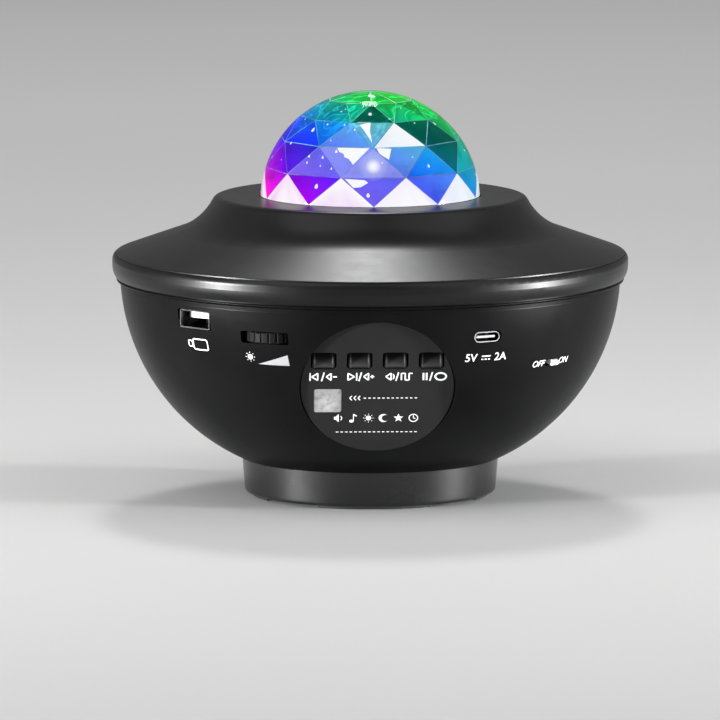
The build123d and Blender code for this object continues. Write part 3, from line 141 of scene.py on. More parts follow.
class Shader:
    """A node material with one Principled BSDF and short ways to add to it."""

    def __init__(self, name):
        self.material = bpy.data.materials.new(name)
        self.material.use_nodes = True
        self.tree = self.material.node_tree
        self.bsdf = self.tree.nodes["Principled BSDF"]
        self.place = self.add("ShaderNodeTexCoord").outputs["Object"]

    def add(self, kind, **settings):
        node = self.tree.nodes.new(kind)
        for name, value in settings.items():
            setattr(node, name, value)
        return node

    def link(self, source, target):
        self.tree.links.new(source, target)

    def to(self, name, source):
        """Feeds an output into one of the BSDF's sockets."""
        self.link(source, self.bsdf.inputs[name])

    def set(self, **values):
        """Constant values on the BSDF's own sockets, named with underscores for spaces."""
        for name, value in values.items():
            self.bsdf.inputs[name.replace("_", " ")].default_value = value

    def shine(self, colour):
        """Leaves the surface with nothing but its own light."""
        self.set(Base_Color=(0, 0, 0, 1), Roughness=0.6, Specular_IOR_Level=0.0, Emission_Strength=1.0)
        self.to("Emission Color", colour)

    def stretched(self, scale):
        if scale is None:
            return self.place
        mapping = self.add("ShaderNodeMapping")
        mapping.inputs["Scale"].default_value = scale
        self.link(self.place, mapping.inputs["Vector"])
        return mapping.outputs["Vector"]

    def noise(self, scale, detail=2.0, roughness=0.5, stretch=None, distortion=0.0):
        node = self.add("ShaderNodeTexNoise")
        node.inputs["Scale"].default_value = scale
        node.inputs["Detail"].default_value = detail
        node.inputs["Roughness"].default_value = roughness
        node.inputs["Distortion"].default_value = distortion
        self.link(self.stretched(stretch), node.inputs["Vector"])
        return node.outputs["Fac"]

    def voronoi(self, scale, feature="F1"):
        node = self.add("ShaderNodeTexVoronoi", feature=feature)
        node.inputs["Scale"].default_value = scale
        self.link(self.place, node.inputs["Vector"])
        return node.outputs["Distance"]

    def along(self, axis):
        """Place along one axis of the object."""
        parts = self.add("ShaderNodeSeparateXYZ")
        self.link(self.place, parts.inputs[0])
        return parts.outputs[axis]

    def measure(self, operation, vector):
        """Distance from a point, or reach along a direction."""
        node = self.add("ShaderNodeVectorMath", operation=operation)
        node.inputs[1].default_value = vector
        self.link(self.place, node.inputs[0])
        return node.outputs["Value"]

    def ramp(self, source, stops):
        """Colour ramp from (position, grey or colour) stops."""
        node = self.add("ShaderNodeValToRGB")
        elements = node.color_ramp.elements
        while len(elements) < len(stops):
            elements.new(0.5)
        for element, (position, value) in zip(elements, stops):
            element.position = position
            element.color = (*value, 1) if isinstance(value, tuple) else (value, value, value, 1)
        self.link(source, node.inputs["Fac"])
        return node.outputs["Color"]

    def span(self, source, low, high, start=0.3, end=0.7):
        """Maps start..end to low..high; the defaults are a texture's middle range."""
        node = self.add("ShaderNodeMapRange")
        for name, value in zip(("From Min", "From Max", "To Min", "To Max"), (start, end, low, high)):
            node.inputs[name].default_value = value
        self.link(source, node.inputs["Value"])
        return node.outputs["Result"]

    def math(self, operation, first, second):
        node = self.add("ShaderNodeMath", operation=operation)
        for socket, value in zip(node.inputs, (first, second)):
            if isinstance(value, (int, float)):
                socket.default_value = value
            else:
                self.link(value, socket)
        return node.outputs[0]

    def mix(self, factor, first, second, blend="MIX"):
        """Mix of two colours; a colour mix has its sockets at inputs 0, 6 and 7 and output 2."""
        node = self.add("ShaderNodeMix", data_type="RGBA", blend_type=blend)
        for socket, value in zip((node.inputs[0], node.inputs[6], node.inputs[7]), (factor, first, second)):
            if isinstance(value, (int, float)):
                socket.default_value = value
            elif isinstance(value, tuple):
                socket.default_value = (*value, 1)
            else:
                self.link(value, socket)
        return node.outputs[2]

    def bump(self, height, microns):
        """Relief of the surface, in thousandths of a millimetre."""
        node = self.add("ShaderNodeBump")
        node.inputs["Distance"].default_value = microns * MICRON
        node.inputs["Strength"].default_value = 1.0
        self.link(height, node.inputs["Height"])
        self.link(node.outputs["Normal"], self.bsdf.inputs["Normal"])


def dimmed(colour, share):
    return tuple(share * level for level in colour)


# ---------------------------------------------------------------- kinds of finish

STEEL_STREAK = (1, 1, 40)
BUTTON_NODES = ("previous_button", "next_button", "mode_button", "play_button")
# Width along the keys' sides of their painted highlights and painted shade.
BUTTON_SHADE_RIM = 2.4 * MM
WINDOW_SPOT_HEIGHT = 1.5 * MM
WINDOW_SPOT_RADIUS = 4.5 * MM


def moulded(name, dark, light, rough, grain, grain_microns, specular):
    """Moulded plastic: colour drifts between dark and light, with a fine spark-eroded grain."""
    s = Shader(name)
    drift = s.noise(35, detail=3)
    s.to("Base Color", s.ramp(drift, [(0.35, dark), (0.65, light)]))
    wear = s.noise(140, detail=4, roughness=0.6)
    s.to("Roughness", s.span(wear, rough - 0.015, rough + 0.02))
    s.set(Specular_IOR_Level=specular)
    s.bump(s.noise(grain, detail=3, roughness=0.6), grain_microns)
    return s.material


def streaks(s, colour, stretch):
    """Fine lines along one direction, and a metal's colour over them."""
    lines = s.noise(260, detail=4, roughness=0.6, stretch=stretch)
    return lines, s.ramp(lines, [(0.3, dimmed(colour, 0.82)), (0.7, colour)])


def metal(name, colour, rough, stretch):
    """Machined or drawn metal with streaks along one direction."""
    s = Shader(name)
    lines, shade = streaks(s, colour, stretch)
    s.to("Base Color", shade)
    s.to("Roughness", s.span(lines, rough, rough + 0.14))
    s.set(Metallic=1.0)
    s.bump(lines, 10)
    return s.material


def socket_finish(name, colour, node, shade_from, shade_to):
    """Drawn steel of a socket, bright at its rim, with painted shade that turns it near black further in.
    """
    s = Shader(name)
    low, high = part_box(node)
    middle = (low + high) / 2
    outwards = Vector((middle.x, middle.y, 0)).normalized()
    rim = max(outwards.dot(vert.co) for vert in NODES[node].data.vertices)
    reach = s.measure("DOT_PRODUCT", outwards)
    recess_shade = s.span(reach, 1.0, 0.0, rim - shade_to * MM, rim - shade_from * MM)
    lines, steel = streaks(s, colour, STEEL_STREAK)
    # Painted shade: the steel gives way to near black deeper in the socket.
    s.to("Base Color", s.mix(recess_shade, steel, (0.004, 0.004, 0.004)))
    s.to("Roughness", s.span(lines, 0.22, 0.36))
    s.set(Metallic=1.0)
    s.bump(lines, 10)
    return s.material


def clear(name, colour):
    """Clear moulded plastic with faint flow lines."""
    s = Shader(name)
    flow = s.noise(60, detail=3, stretch=(1, 1, 3))
    s.to("Base Color", s.ramp(flow, [(0.3, dimmed(colour, 0.93)), (0.7, colour)]))
    s.to("Roughness", s.span(flow, 0.03, 0.06))
    s.set(IOR=1.49, Transmission_Weight=0.92)
    s.bump(flow, 20)
    return s.material


def circuit(name):
    """Green solder mask, lighter over the tracks below it, with small golden pads."""
    s = Shader(name)
    cells = s.voronoi(210, "DISTANCE_TO_EDGE")
    tracks = s.ramp(cells, [(0.03, (0.012, 0.20, 0.085)), (0.07, (0.006, 0.085, 0.035))])
    pads = s.ramp(s.voronoi(420), [(0.10, 1.0), (0.13, 0.0)])
    s.to("Base Color", s.mix(pads, tracks, (0.55, 0.42, 0.16)))
    s.to("Roughness", s.span(s.noise(300), 0.28, 0.42))
    s.bump(cells, 30)
    return s.material


def pulp(name, dark, light):
    """Pressed paper pulp or cloth: fibres over a soft mottle."""
    s = Shader(name)
    fibres = s.noise(1500, detail=4, roughness=0.7, stretch=(1, 1, 4))
    s.to("Base Color", s.ramp(fibres, [(0.35, dark), (0.65, light)]))
    s.to("Roughness", s.span(fibres, 0.75, 0.92))
    s.bump(fibres, 80)
    return s.material


def wound(name, colour):
    """Close turns of lacquered wire round the axis."""
    s = Shader(name)
    wave = s.add("ShaderNodeTexWave", bands_direction="Z")
    wave.inputs["Scale"].default_value = 900
    s.link(s.place, wave.inputs["Vector"])
    turns = wave.outputs["Fac"]
    s.to("Base Color", s.ramp(turns, [(0.2, dimmed(colour, 0.5)), (0.8, colour)]))
    s.set(Metallic=0.9, Roughness=0.3)
    s.bump(turns, 50)
    return s.material


def printed(name, colour, glow):
    """Printed ink or phosphor, a little uneven, with a faint light of its own: on the LEDs' phosphor their
    real light, on ink a painted glow.
    """
    s = Shader(name)
    spread = s.noise(2600, detail=3, roughness=0.6)
    s.to("Base Color", s.ramp(spread, [(0.35, dimmed(colour, 0.86)), (0.6, colour)]))
    s.to("Roughness", s.span(spread, 0.45, 0.6))
    s.set(Emission_Color=(*colour, 1), Emission_Strength=glow)
    s.bump(spread, 6)
    return s.material


def button_finish(node):
    """Black key in its pocket: painted shade at its rim and over its top, faint painted highlights near its
    sides, and painted light, dark grey, towards its lower edge.
    """
    s = Shader(node)
    low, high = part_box(node)
    half = (high.x - low.x) / 2
    rise = s.span(s.along("Z"), 0.0, 1.0, low.z, high.z)
    aside = s.math("ABSOLUTE", s.math("SUBTRACT", s.along("X"), low.x + half), 0)
    side = s.span(aside, 0.0, 1.0, half - BUTTON_SHADE_RIM, half)
    # Painted shade and light: near black over the top of the face, dark grey just above its lower edge.
    face = s.ramp(rise, [(0.0, 0.004), (0.10, 0.036), (0.26, 0.024), (0.50, 0.003), (1.0, 0.002)])
    # Painted highlights: faint lines near the key's sides, low on its face.
    side_highlight = s.ramp(rise, [(0.10, 0.05), (0.30, 0.16), (0.55, 0.03), (0.70, 0.003)])
    on_side_highlight = s.ramp(side, [(0.10, 0.0), (0.22, 1.0), (0.38, 0.0)])
    # Painted shade: black along the rim of the key.
    on_rim_shade = s.ramp(side, [(0.38, 0.0), (0.50, 1.0)])
    s.to("Base Color", s.mix(on_rim_shade, s.mix(on_side_highlight, face, side_highlight), (0.002, 0.002, 0.002)))
    s.to("Roughness", s.span(s.noise(140, detail=4, roughness=0.6), 0.30, 0.38))
    s.set(Specular_IOR_Level=0.05)
    s.bump(s.noise(5200, detail=3, roughness=0.6), 4)
    return s.material


def window_finish(name):
    """Cloudy grey window over the receiver, brighter round a spot at its lower middle."""
    s = Shader(name)
    low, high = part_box("ir_window")
    spot = Vector(((low.x + high.x) / 2, low.y, low.z + WINDOW_SPOT_HEIGHT))
    away = s.math("DIVIDE", s.measure("DISTANCE", spot), WINDOW_SPOT_RADIUS)
    near = s.ramp(away, [(0.10, 0.80), (0.30, 0.50), (1.0, 0.27)])
    mottle = s.noise(420, detail=4, roughness=0.65)
    cloud = s.ramp(mottle, [(0.34, 0.55), (0.52, 1.0), (0.68, 0.80)])
    s.to("Base Color", s.mix(1.0, near, cloud, "MULTIPLY"))
    s.to("Roughness", s.span(s.noise(900), 0.38, 0.46))
    s.bump(s.noise(700, detail=3), 40)
    return s.material


# ---------------------------------------------------------------- finishes of the CAD nodes

# Plastics by slot: dark, light, roughness, scale of the grain, its depth in microns, and shine.
PLASTICS = {
    "shell_black": ((0.0032, 0.0032, 0.0034), (0.005, 0.005, 0.0052), 0.32, 5200, 6, 0.22),
    "foot_black": ((0.0034, 0.0034, 0.0036), (0.0052, 0.0052, 0.0054), 0.26, 4200, 4, 0.5),
    "pad_rubber": ((0.010, 0.010, 0.010), (0.020, 0.020, 0.020), 0.72, 2600, 30, 0.25),
    "panel_grey": ((0.0095, 0.0095, 0.0098), (0.012, 0.012, 0.0123), 0.50, 6000, 8, 0.18),
    "knob_white": ((0.72, 0.72, 0.70), (0.82, 0.82, 0.80), 0.38, 3000, 10, 0.5),
    "socket_white": ((0.74, 0.74, 0.72), (0.84, 0.84, 0.82), 0.34, 3000, 10, 0.5),
    "wheel_black": ((0.005, 0.005, 0.005), (0.009, 0.009, 0.009), 0.55, 3400, 10, 0.06),
    "part_black": ((0.014, 0.014, 0.014), (0.026, 0.026, 0.027), 0.48, 2600, 20, 0.5),
    "deck_grey": ((0.05, 0.05, 0.053), (0.075, 0.075, 0.08), 0.5, 2400, 20, 0.35),
    "gear_white": ((0.66, 0.66, 0.61), (0.76, 0.76, 0.72), 0.4, 2400, 10, 0.5),
    "magnet_dark": ((0.04, 0.04, 0.042), (0.08, 0.08, 0.085), 0.5, 1200, 40, 0.5),
}

# Nodes with a plastic of their own: its name and the same recipe.
NODE_PLASTICS = {
    "bowl_shell": ("bowl_black", (0.0028, 0.0028, 0.003), (0.0044, 0.0044, 0.0046), 0.34, 5200, 6, 0.05),
    "usb_c_tongue": ("tongue_grey", (0.30, 0.30, 0.30), (0.42, 0.42, 0.42), 0.4, 3000, 10, 0.5),
}

# Metals by slot: colour, roughness and stretch of the streaks.
METALS = {
    "can_steel": ((0.56, 0.56, 0.57), 0.3, STEEL_STREAK),
    "screw_steel": ((0.42, 0.42, 0.44), 0.32, (40, 40, 1)),
    "post_alloy": ((0.70, 0.70, 0.72), 0.25, (1, 1, 60)),
    "laser_brass": ((0.74, 0.54, 0.22), 0.24, (1, 1, 60)),
    "sink_alloy": ((0.52, 0.53, 0.55), 0.36, (60, 1, 1)),
}

# Socket shells: name and colour of the steel, and the millimetres from the rim where painted shade darkens
# it.
SOCKETS = {
    # Painted shade: the USB-A steel has a near-black colour for the shade in its mouth.
    "usb_a_shell": ("usb_a_steel", (0.055, 0.055, 0.057), 0.3, 1.2),
    "usb_c_shell": ("usb_c_steel", (0.34, 0.34, 0.35), 0.2, 0.9),
}


def slot_materials():
    """One finish for each slot, apart from the dome's and those whose nodes have their own."""
    finishes = {name: moulded(name, *recipe) for name, recipe in PLASTICS.items()}
    finishes.update((name, metal(name, *recipe)) for name, recipe in METALS.items())
    finishes["window_grey"] = window_finish("window_grey")
    finishes["board_green"] = circuit("board_green")
    finishes["lens_clear"] = clear("lens_clear", (0.95, 0.97, 1.0))
    finishes["led_white"] = printed("led_white", (0.95, 0.88, 0.45), 0.4)
    finishes["cone_paper"] = pulp("cone_paper", (0.012, 0.012, 0.012), (0.035, 0.034, 0.033))
    finishes["spider_cloth"] = pulp("spider_cloth", (0.30, 0.19, 0.05), (0.52, 0.36, 0.12))
    finishes["coil_copper"] = wound("coil_copper", (0.80, 0.40, 0.20))
    return finishes


FINISHES = slot_materials()


def finish_cad_nodes():
    for node in NODES:
        if SLOT_OF[node] in FINISHES:
            paint(node, FINISHES[SLOT_OF[node]])
    for node in BUTTON_NODES:
        paint(node, button_finish(node))
    for node, recipe in NODE_PLASTICS.items():
        paint(node, moulded(*recipe))
    for node, (name, colour, shade_from, shade_to) in SOCKETS.items():
        paint(node, socket_finish(name, colour, node, shade_from, shade_to))


finish_cad_nodes()

# ---------------------------------------------------------------- lit dome

DOME_DROP = 1.743 * MM
DOME_MIDDLE = Vector((0, 0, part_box("top_cover")[1].z - DOME_DROP))
LIGHT_RADIUS = 34.9 * MM
LIGHT_SIDES = 10
LIGHT_LATITUDES = (2.97, 17.9, 34.6, 50.8, 67.5)
RIM_STEPS = 6
OVERLAY_LIFT = 0.03 * MM

# Hues from the low left of the front, over its middle, to the top.
LIGHT_HUES = (
    (-0.20, 0xF418E0),
    (-0.11, 0xCC0CE4),
    (-0.04, 0x8408E2),
    (0.06, 0x5A20EE),
    (0.15, 0x2C2CF2),
    (0.27, 0x1048F2),
    (0.37, 0x1E8CF0),
    (0.46, 0x14B4C4),
    (0.58, 0x10AA84),
    (0.70, 0x1CC650),
    (0.90, 0x2CDA38),
)

# Place among the hues, per share of the half width to the right and per degree of height, and how much
# of it changes within a facet.
HUE_PER_RIGHT = 0.36
HUE_PER_DEGREE = 0.01
HUE_SPREAD = 0.75

LIGHT_WHITE = (0.97, 0.98, 1.0)
RIM_WEDGE_LEFT = 0xFF80F0
RIM_WEDGE_RIGHT = 0xC4F2FF

# Facets of the front that stand out, by level, kind and azimuth: below 0 darker, above 0 whiter.
FACET_TONES = {
    (0, "down", 0): 0.10,
    (0, "down", 36): 0.06,
    (0, "down", 72): -0.20,
    (1, "up", 0): 0.30,
    (1, "up", -36): 0.12,
    (1, "down", -18): 0.26,
    (1, "down", 18): 0.10,
    (1, "down", 54): -0.70,
    (1, "down", -54): -0.15,
    (2, "up", 18): 1.0,
    (2, "up", -18): 0.10,
    (2, "up", 54): -0.74,
    (2, "down", 0): 0.14,
    (2, "down", 36): -0.76,
    (2, "down", 72): -0.35,
    (3, "up", 0): -0.74,
    (3, "up", -36): -0.35,
    (3, "down", 54): -0.30,
    (3, "down", -54): -0.30,
}

# Chance spread of the facets' corners: whiteness of the rim's wedges and of whiter facets, and shade.
FACET_SEED = 5
RIM_WEDGE_WHITENESS = (0.35, 1.0)
TONE_SHARE = (0.75, 1.0)
SHADE_SPREAD = (0.72, 1.25)

# Patches of glare on the facets: azimuth and latitude of each corner.
GLARE = {
    "wedge": ((-16, 17.6), (-5, 17.4), (-3, 16), (-7, 13.5), (-11, 13)),
    "torn": ((-24, 35.4), (-2, 35.2), (-12, 25.5), (-15, 29), (-18, 30), (-19, 32), (-22, 33)),
    "streak": ((-13, 52), (-1.5, 52.5), (-2, 46), (-0.5, 38), (-3, 42), (-7, 47)),
    "corner": ((2, 35), (12, 35), (9.5, 28.5), (4, 31.5)),
}
GLARE_COLOURS = ((0.90, 0.93, 0.97), (1.0, 1.0, 1.0))

# The brightest star reflections: azimuth, latitude and size in millimetres.
BIG_GLINTS = (
    (-50, 45, 0.8), (-33, 13, 0.8), (-2, 59, 0.75), (-3, 9, 0.7), (60, 48, 0.6), (35, 24, 0.55),
    (-32, 29, 0.5), (-42, 29, 0.45), (-24, 33, 0.55), (-65, 35, 0.5), (10, 31, 0.4), (84, 14, 0.6),
)
# A painted highlight at the apex, made as one more glint: azimuth, latitude and size in millimetres.
APEX_FLARE = (2, 80, 1.5)
GLINT_COLOURS = ((0.72, 0.84, 0.95), (0.95, 0.97, 1.0))

# Small glints are scattered between these azimuths, latitudes and sizes.
SMALL_GLINTS = 22
SMALL_GLINT_RANGES = ((-88, 88), (20, 72), (0.22, 0.42))
GLINT_SEED = 23

# Outline of a glint, in shares of its size.
GLINT_CORNERS = 20
GLINT_WIDTH = 0.72
GLINT_TAPER = 0.22
GLINT_TOP = 1.15
GLINT_BOTTOM = 0.9

# Bright edges between facets, by level: half their width in millimetres, and their colour.
EDGE_WIDTHS = (0.10, 0.13, 0.15, 0.15, 0.26)
EDGE_SHADES = (0xE8DCF4, 0x9CA8F4, 0x84D4F0, 0x78E4C8, 0xB4F8D0)
EDGE_SEED = 11
EDGE_WIDTH_SPREAD = (0.7, 1.25)
EDGE_NARROWING = (0.25, 0.8)
EDGE_STRENGTH = (0.45, 1.0)

# A soft white spot, and the latitudes between which bent streaks come in, up to a share.
GLOW_PLACE = (0, 25)
GLOW_RADIUS = 5.0 * MM
STREAKS_FROM = 36
STREAKS_FULL = 60
STREAKS_SHARE = 0.8


def srgb(code):
    """Linear colour of a web colour code."""
    levels = [((code >> shift) & 255) / 255 for shift in (16, 8, 0)]
    return tuple(v / 12.92 if v <= 0.04045 else ((v + 0.055) / 1.055) ** 2.4 for v in levels)


def blend(first, second, share):
    return tuple(a + (b - a) * share for a, b in zip(first, second))


def front_azimuth(azimuth):
    """The same azimuth on the front half, where the back mirrors the front."""
    azimuth = (azimuth + 180) % 360 - 180
    if abs(azimuth) > 90:
        azimuth = math.copysign(180, azimuth) - azimuth
    return azimuth


def light_hue(azimuth, latitude):
    """Colour of the light that leaves the dome in a direction."""
    right = front_azimuth(azimuth) / 90 * math.cos(math.radians(latitude))
    place = HUE_PER_RIGHT * right + HUE_PER_DEGREE * latitude
    if place <= LIGHT_HUES[0][0]:
        return srgb(LIGHT_HUES[0][1])
    for (low, first), (high, second) in zip(LIGHT_HUES, LIGHT_HUES[1:]):
        if place <= high:
            return blend(srgb(first), srgb(second), (place - low) / (high - low))
    return srgb(LIGHT_HUES[-1][1])


def wedge_tint(azimuth):
    """Faint tint of the white wedges at the rim, pink on the left and icy on the right."""
    share = (front_azimuth(azimuth) + 90) / 180
    return blend(srgb(RIM_WEDGE_LEFT), srgb(RIM_WEDGE_RIGHT), share)


def dome_point(azimuth, latitude):
    return direction(azimuth, latitude) * LIGHT_RADIUS + DOME_MIDDLE


def ring_azimuth(level, side):
    """Azimuth of a corner on a ring of the lit facets, numbered round from the front."""
    return 360 / LIGHT_SIDES * (side + (level % 2) / 2)


def light_facets():
    """Facets as (level, kind, azimuth, corners), each corner an (azimuth, latitude)."""
    facets = []
    step = 360 / LIGHT_SIDES
    top = len(LIGHT_LATITUDES) - 1

    def corner(level, side):
        return ring_azimuth(level, side), LIGHT_LATITUDES[level]

    for level in range(top):
        shift = level % 2
        for side in range(LIGHT_SIDES):
            middle = step * (side + 0.5 + shift / 2)
            low = [corner(level, side), corner(level, side + 1)]
            high = [corner(level + 1, side + shift - 1), corner(level + 1, side + shift)]
            if level == 0:
                start = ring_azimuth(0, side)
                low = [(start + step * k / RIM_STEPS, LIGHT_LATITUDES[0]) for k in range(RIM_STEPS + 1)]
            facets.append((level, "up", middle, [*low, high[1]]))
            facets.append((level, "down", middle - step / 2, [*high, low[0]]))
    for side in range(LIGHT_SIDES):
        corners = [corner(top, side), corner(top, side + 1), (step * (side + 0.5), 90)]
        facets.append((top, "cap", step * (side + 0.5), corners))
    return facets


LIT_FACETS = light_facets()


def facet_colours(level, kind, azimuth, corners, rng):
    """Linear colour at each corner of a facet: its own hue, its tone and a chance shade."""
    middle = sum(latitude for _, latitude in corners) / len(corners)
    tone = FACET_TONES.get((level, kind, round(front_azimuth(azimuth))), 0)
    colours = []
    for corner_azimuth, corner_latitude in corners:
        turn = (corner_azimuth - azimuth + 180) % 360 - 180
        if corner_latitude == 90:
            turn = 0
        hue = light_hue(azimuth + HUE_SPREAD * turn, (middle + corner_latitude) / 2)
        if (level, kind) == (0, "up"):
            hue = blend(wedge_tint(corner_azimuth), (1, 1, 1), rng.uniform(*RIM_WEDGE_WHITENESS))
        elif tone > 0:
            hue = blend(hue, LIGHT_WHITE, tone * rng.uniform(*TONE_SHARE))
        else:
            hue = tuple((1 + tone) * rng.uniform(*SHADE_SPREAD) * c for c in hue)
        colours.append(hue)
    return colours


def facet_triangles(corners):
    """Triangles of a facet, fanned from its tip, as numbers of its corners."""
    tip = len(corners) - 1
    return [(k, k + 1, tip) for k in range(tip - 1)]


def on_facets(azimuth, latitude, lift=OVERLAY_LIFT):
    """Point just above the lit facets in a direction from the dome's middle, and the facet's normal."""
    way = direction(azimuth, latitude)
    for _, _, _, corners in LIT_FACETS:
        points = [dome_point(*corner) for corner in corners]
        for triangle in facet_triangles(corners):
            a, b, c = (points[number] for number in triangle)
            place = intersect_ray_tri(a, b, c, way, DOME_MIDDLE)
            if place is not None and way.dot(place - DOME_MIDDLE) > 0:
                normal = (b - a).cross(c - a).normalized()
                if normal.dot(way) < 0:
                    normal = -normal
                return place + normal * lift, normal
    raise RuntimeError(f"no lit facet at {azimuth}, {latitude}")


def dome_piece(name, build, material):
    """Light piece inside the dome, filled by build(bmesh)."""
    bm = bmesh.new()
    build(bm)
    piece = mesh_object(name, bm, material)
    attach(piece, HOUSING)


def turn_outwards(face):
    """Flips a face that looks towards the dome's middle."""
    face.normal_update()
    if face.normal.dot(face.verts[0].co - DOME_MIDDLE) < 0:
        face.normal_flip()


def outward_face(bm, points):
    face = bm.faces.new([bm.verts.new(point) for point in points])
    turn_outwards(face)
    return face


def build_facets(bm):
    glow = bm.loops.layers.float_color.new("glow")
    rng = random.Random(FACET_SEED)
    for level, kind, azimuth, corners in LIT_FACETS:
        colours = facet_colours(level, kind, azimuth, corners, rng)
        verts = [bm.verts.new(dome_point(*corner)) for corner in corners]
        for triangle in facet_triangles(corners):
            face = bm.faces.new([verts[number] for number in triangle])
            for loop, number in zip(face.loops, triangle):
                loop[glow] = (*colours[number], 1)
            turn_outwards(face)


def build_glare(bm):
    for corners in GLARE.values():
        outward_face(bm, [on_facets(*corner)[0] for corner in corners])


def star_glints():
    """Placed glints and a seeded scatter of small ones: azimuth, latitude and size."""
    rng = random.Random(GLINT_SEED)
    glints = [*BIG_GLINTS, APEX_FLARE]
    for _ in range(SMALL_GLINTS):
        glints.append([rng.uniform(*limits) for limits in SMALL_GLINT_RANGES])
    return glints


def build_glints(bm):
    """Drop-shaped glints, each with its point towards the apex, at the front and again at the back."""
    for azimuth, latitude, size in star_glints():
        for turn in (azimuth, 180 - azimuth):
            place, normal = on_facets(turn, latitude, 2 * OVERLAY_LIFT)
            up = (Vector((0, 0, 1)) - normal * normal.z).normalized()
            across = up.cross(normal)
            points = []
            for step in range(GLINT_CORNERS):
                angle = 2 * math.pi * step / GLINT_CORNERS
                reach = size * MM
                width = GLINT_WIDTH - GLINT_TAPER * math.sin(angle)
                height = GLINT_TOP if math.sin(angle) > 0 else GLINT_BOTTOM
                x = reach * width * math.cos(angle)
                y = reach * height * math.sin(angle)
                points.append(place + across * x + up * y)
            outward_face(bm, points)


def light_edges():
    """Edges between the lit facets as (level, start, end)."""
    edges = []
    for level, kind, _, corners in LIT_FACETS:
        left, right, tip = (dome_point(*corner) for corner in (corners[0], corners[-2], corners[-1]))
        if kind == "down":
            edges.append((level + 1, left, right))
            edges.append((level, left, tip))
            edges.append((level, right, tip))
        if kind == "cap":
            edges.append((level, left, tip))
    return edges


def build_edges(bm):
    """Thin bright strips along the facets' edges, each narrowing towards one end."""
    glow = bm.loops.layers.float_color.new("glow")
    rng = random.Random(EDGE_SEED)
    for level, start, end in light_edges():
        if rng.random() < 0.5:
            start, end = end, start
        along = (end - start).normalized()
        outwards = ((start + end) / 2 - DOME_MIDDLE).normalized()
        across = along.cross(outwards)
        lift = outwards * OVERLAY_LIFT
        wide = EDGE_WIDTHS[level] * rng.uniform(*EDGE_WIDTH_SPREAD) * MM
        thin = wide * rng.uniform(*EDGE_NARROWING)
        strength = rng.uniform(*EDGE_STRENGTH)
        colour = [c * strength for c in srgb(EDGE_SHADES[level])]
        corners = (start - across * wide, end - across * thin, end + across * thin, start + across * wide)
        face = outward_face(bm, [corner + lift for corner in corners])
        for loop in face.loops:
            loop[glow] = (*colour, 1)


def facet_material():
    """Coloured light in the facets: soft veils, a white spot, and bent streaks towards the top."""
    s = Shader("dome_light")
    glow = s.add("ShaderNodeAttribute", attribute_name="glow").outputs["Color"]
    parts = s.add("ShaderNodeSeparateColor", mode="HSV")
    s.link(glow, parts.inputs[0])
    saturation = parts.outputs[1]
    mottle = s.noise(85, detail=3, roughness=0.55, stretch=(1, 1, 1.8))
    veil = s.ramp(mottle, [(0.30, 0.70), (0.48, 1.0), (0.70, 1.15)])
    lit = s.mix(saturation, glow, s.mix(1.0, glow, veil, "MULTIPLY"))
    bands = s.noise(55, detail=2.5, stretch=(1, 1, 1.5), distortion=2.0)
    stops = [(0.40, 1.1), (0.45, 0.7), (0.485, 2.4), (0.51, 1.1), (0.58, 0.75), (0.62, 1.35)]
    streaked = s.mix(1.0, lit, s.ramp(bands, stops), "MULTIPLY")
    low, high = (dome_point(0, latitude).z for latitude in (STREAKS_FROM, STREAKS_FULL))
    height = s.span(s.along("Z"), 0.0, STREAKS_SHARE, low, high)
    bent = s.mix(s.math("MULTIPLY", height, saturation), lit, streaked)
    away = s.measure("DISTANCE", on_facets(*GLOW_PLACE)[0])
    reach = s.math("DIVIDE", away, GLOW_RADIUS)
    spot = s.ramp(reach, [(0.0, 1.0), (0.22, 0.8), (0.5, 0.2), (1.0, 0.0)])
    s.shine(s.mix(spot, bent, LIGHT_WHITE))
    return s.material


def glare_material(name, low, high):
    """White or tinted light, a little uneven."""
    s = Shader(name)
    s.shine(s.ramp(s.noise(240, detail=3, roughness=0.6), [(0.35, low), (0.65, high)]))
    return s.material


def edge_material():
    """Light in the edges' own colours, brighter and weaker along them."""
    s = Shader("dome_edges")
    glow = s.add("ShaderNodeAttribute", attribute_name="glow").outputs["Color"]
    broken = s.ramp(s.noise(170, detail=3, roughness=0.6), [(0.34, 0.45), (0.6, 1.1)])
    s.shine(s.mix(1.0, glow, broken, "MULTIPLY"))
    return s.material


def lens_material():
    """Clear moulded lens round the lit facets."""
    s = Shader("dome_tinted")
    flow = s.noise(60, detail=3, stretch=(1, 1, 3))
    s.to("Base Color", s.ramp(flow, [(0.3, (0.95, 0.96, 0.97)), (0.7, (1.0, 1.0, 1.0))]))
    s.to("Roughness", s.span(flow, 0.0, 0.012))
    s.set(IOR=1.09, Transmission_Weight=1.0)
    s.bump(flow, 4)
    return s.material


def make_dome():
    paint("dome_lens", lens_material())
    dome_piece("dome_light", build_facets, facet_material())
    dome_piece("dome_edges", build_edges, edge_material())
    dome_piece("dome_glare", build_glare, glare_material("dome_glare", *GLARE_COLOURS))
    dome_piece("dome_glints", build_glints, glare_material("dome_glints", *GLINT_COLOURS))


# ---------------------------------------------------------------- outlines of marks, in millimetres

DISC_CORNERS = 24
RING_STEP_DEGREES = 12
CORNER_POINTS = 5
CAP_HEIGHT_SHARE = 0.72


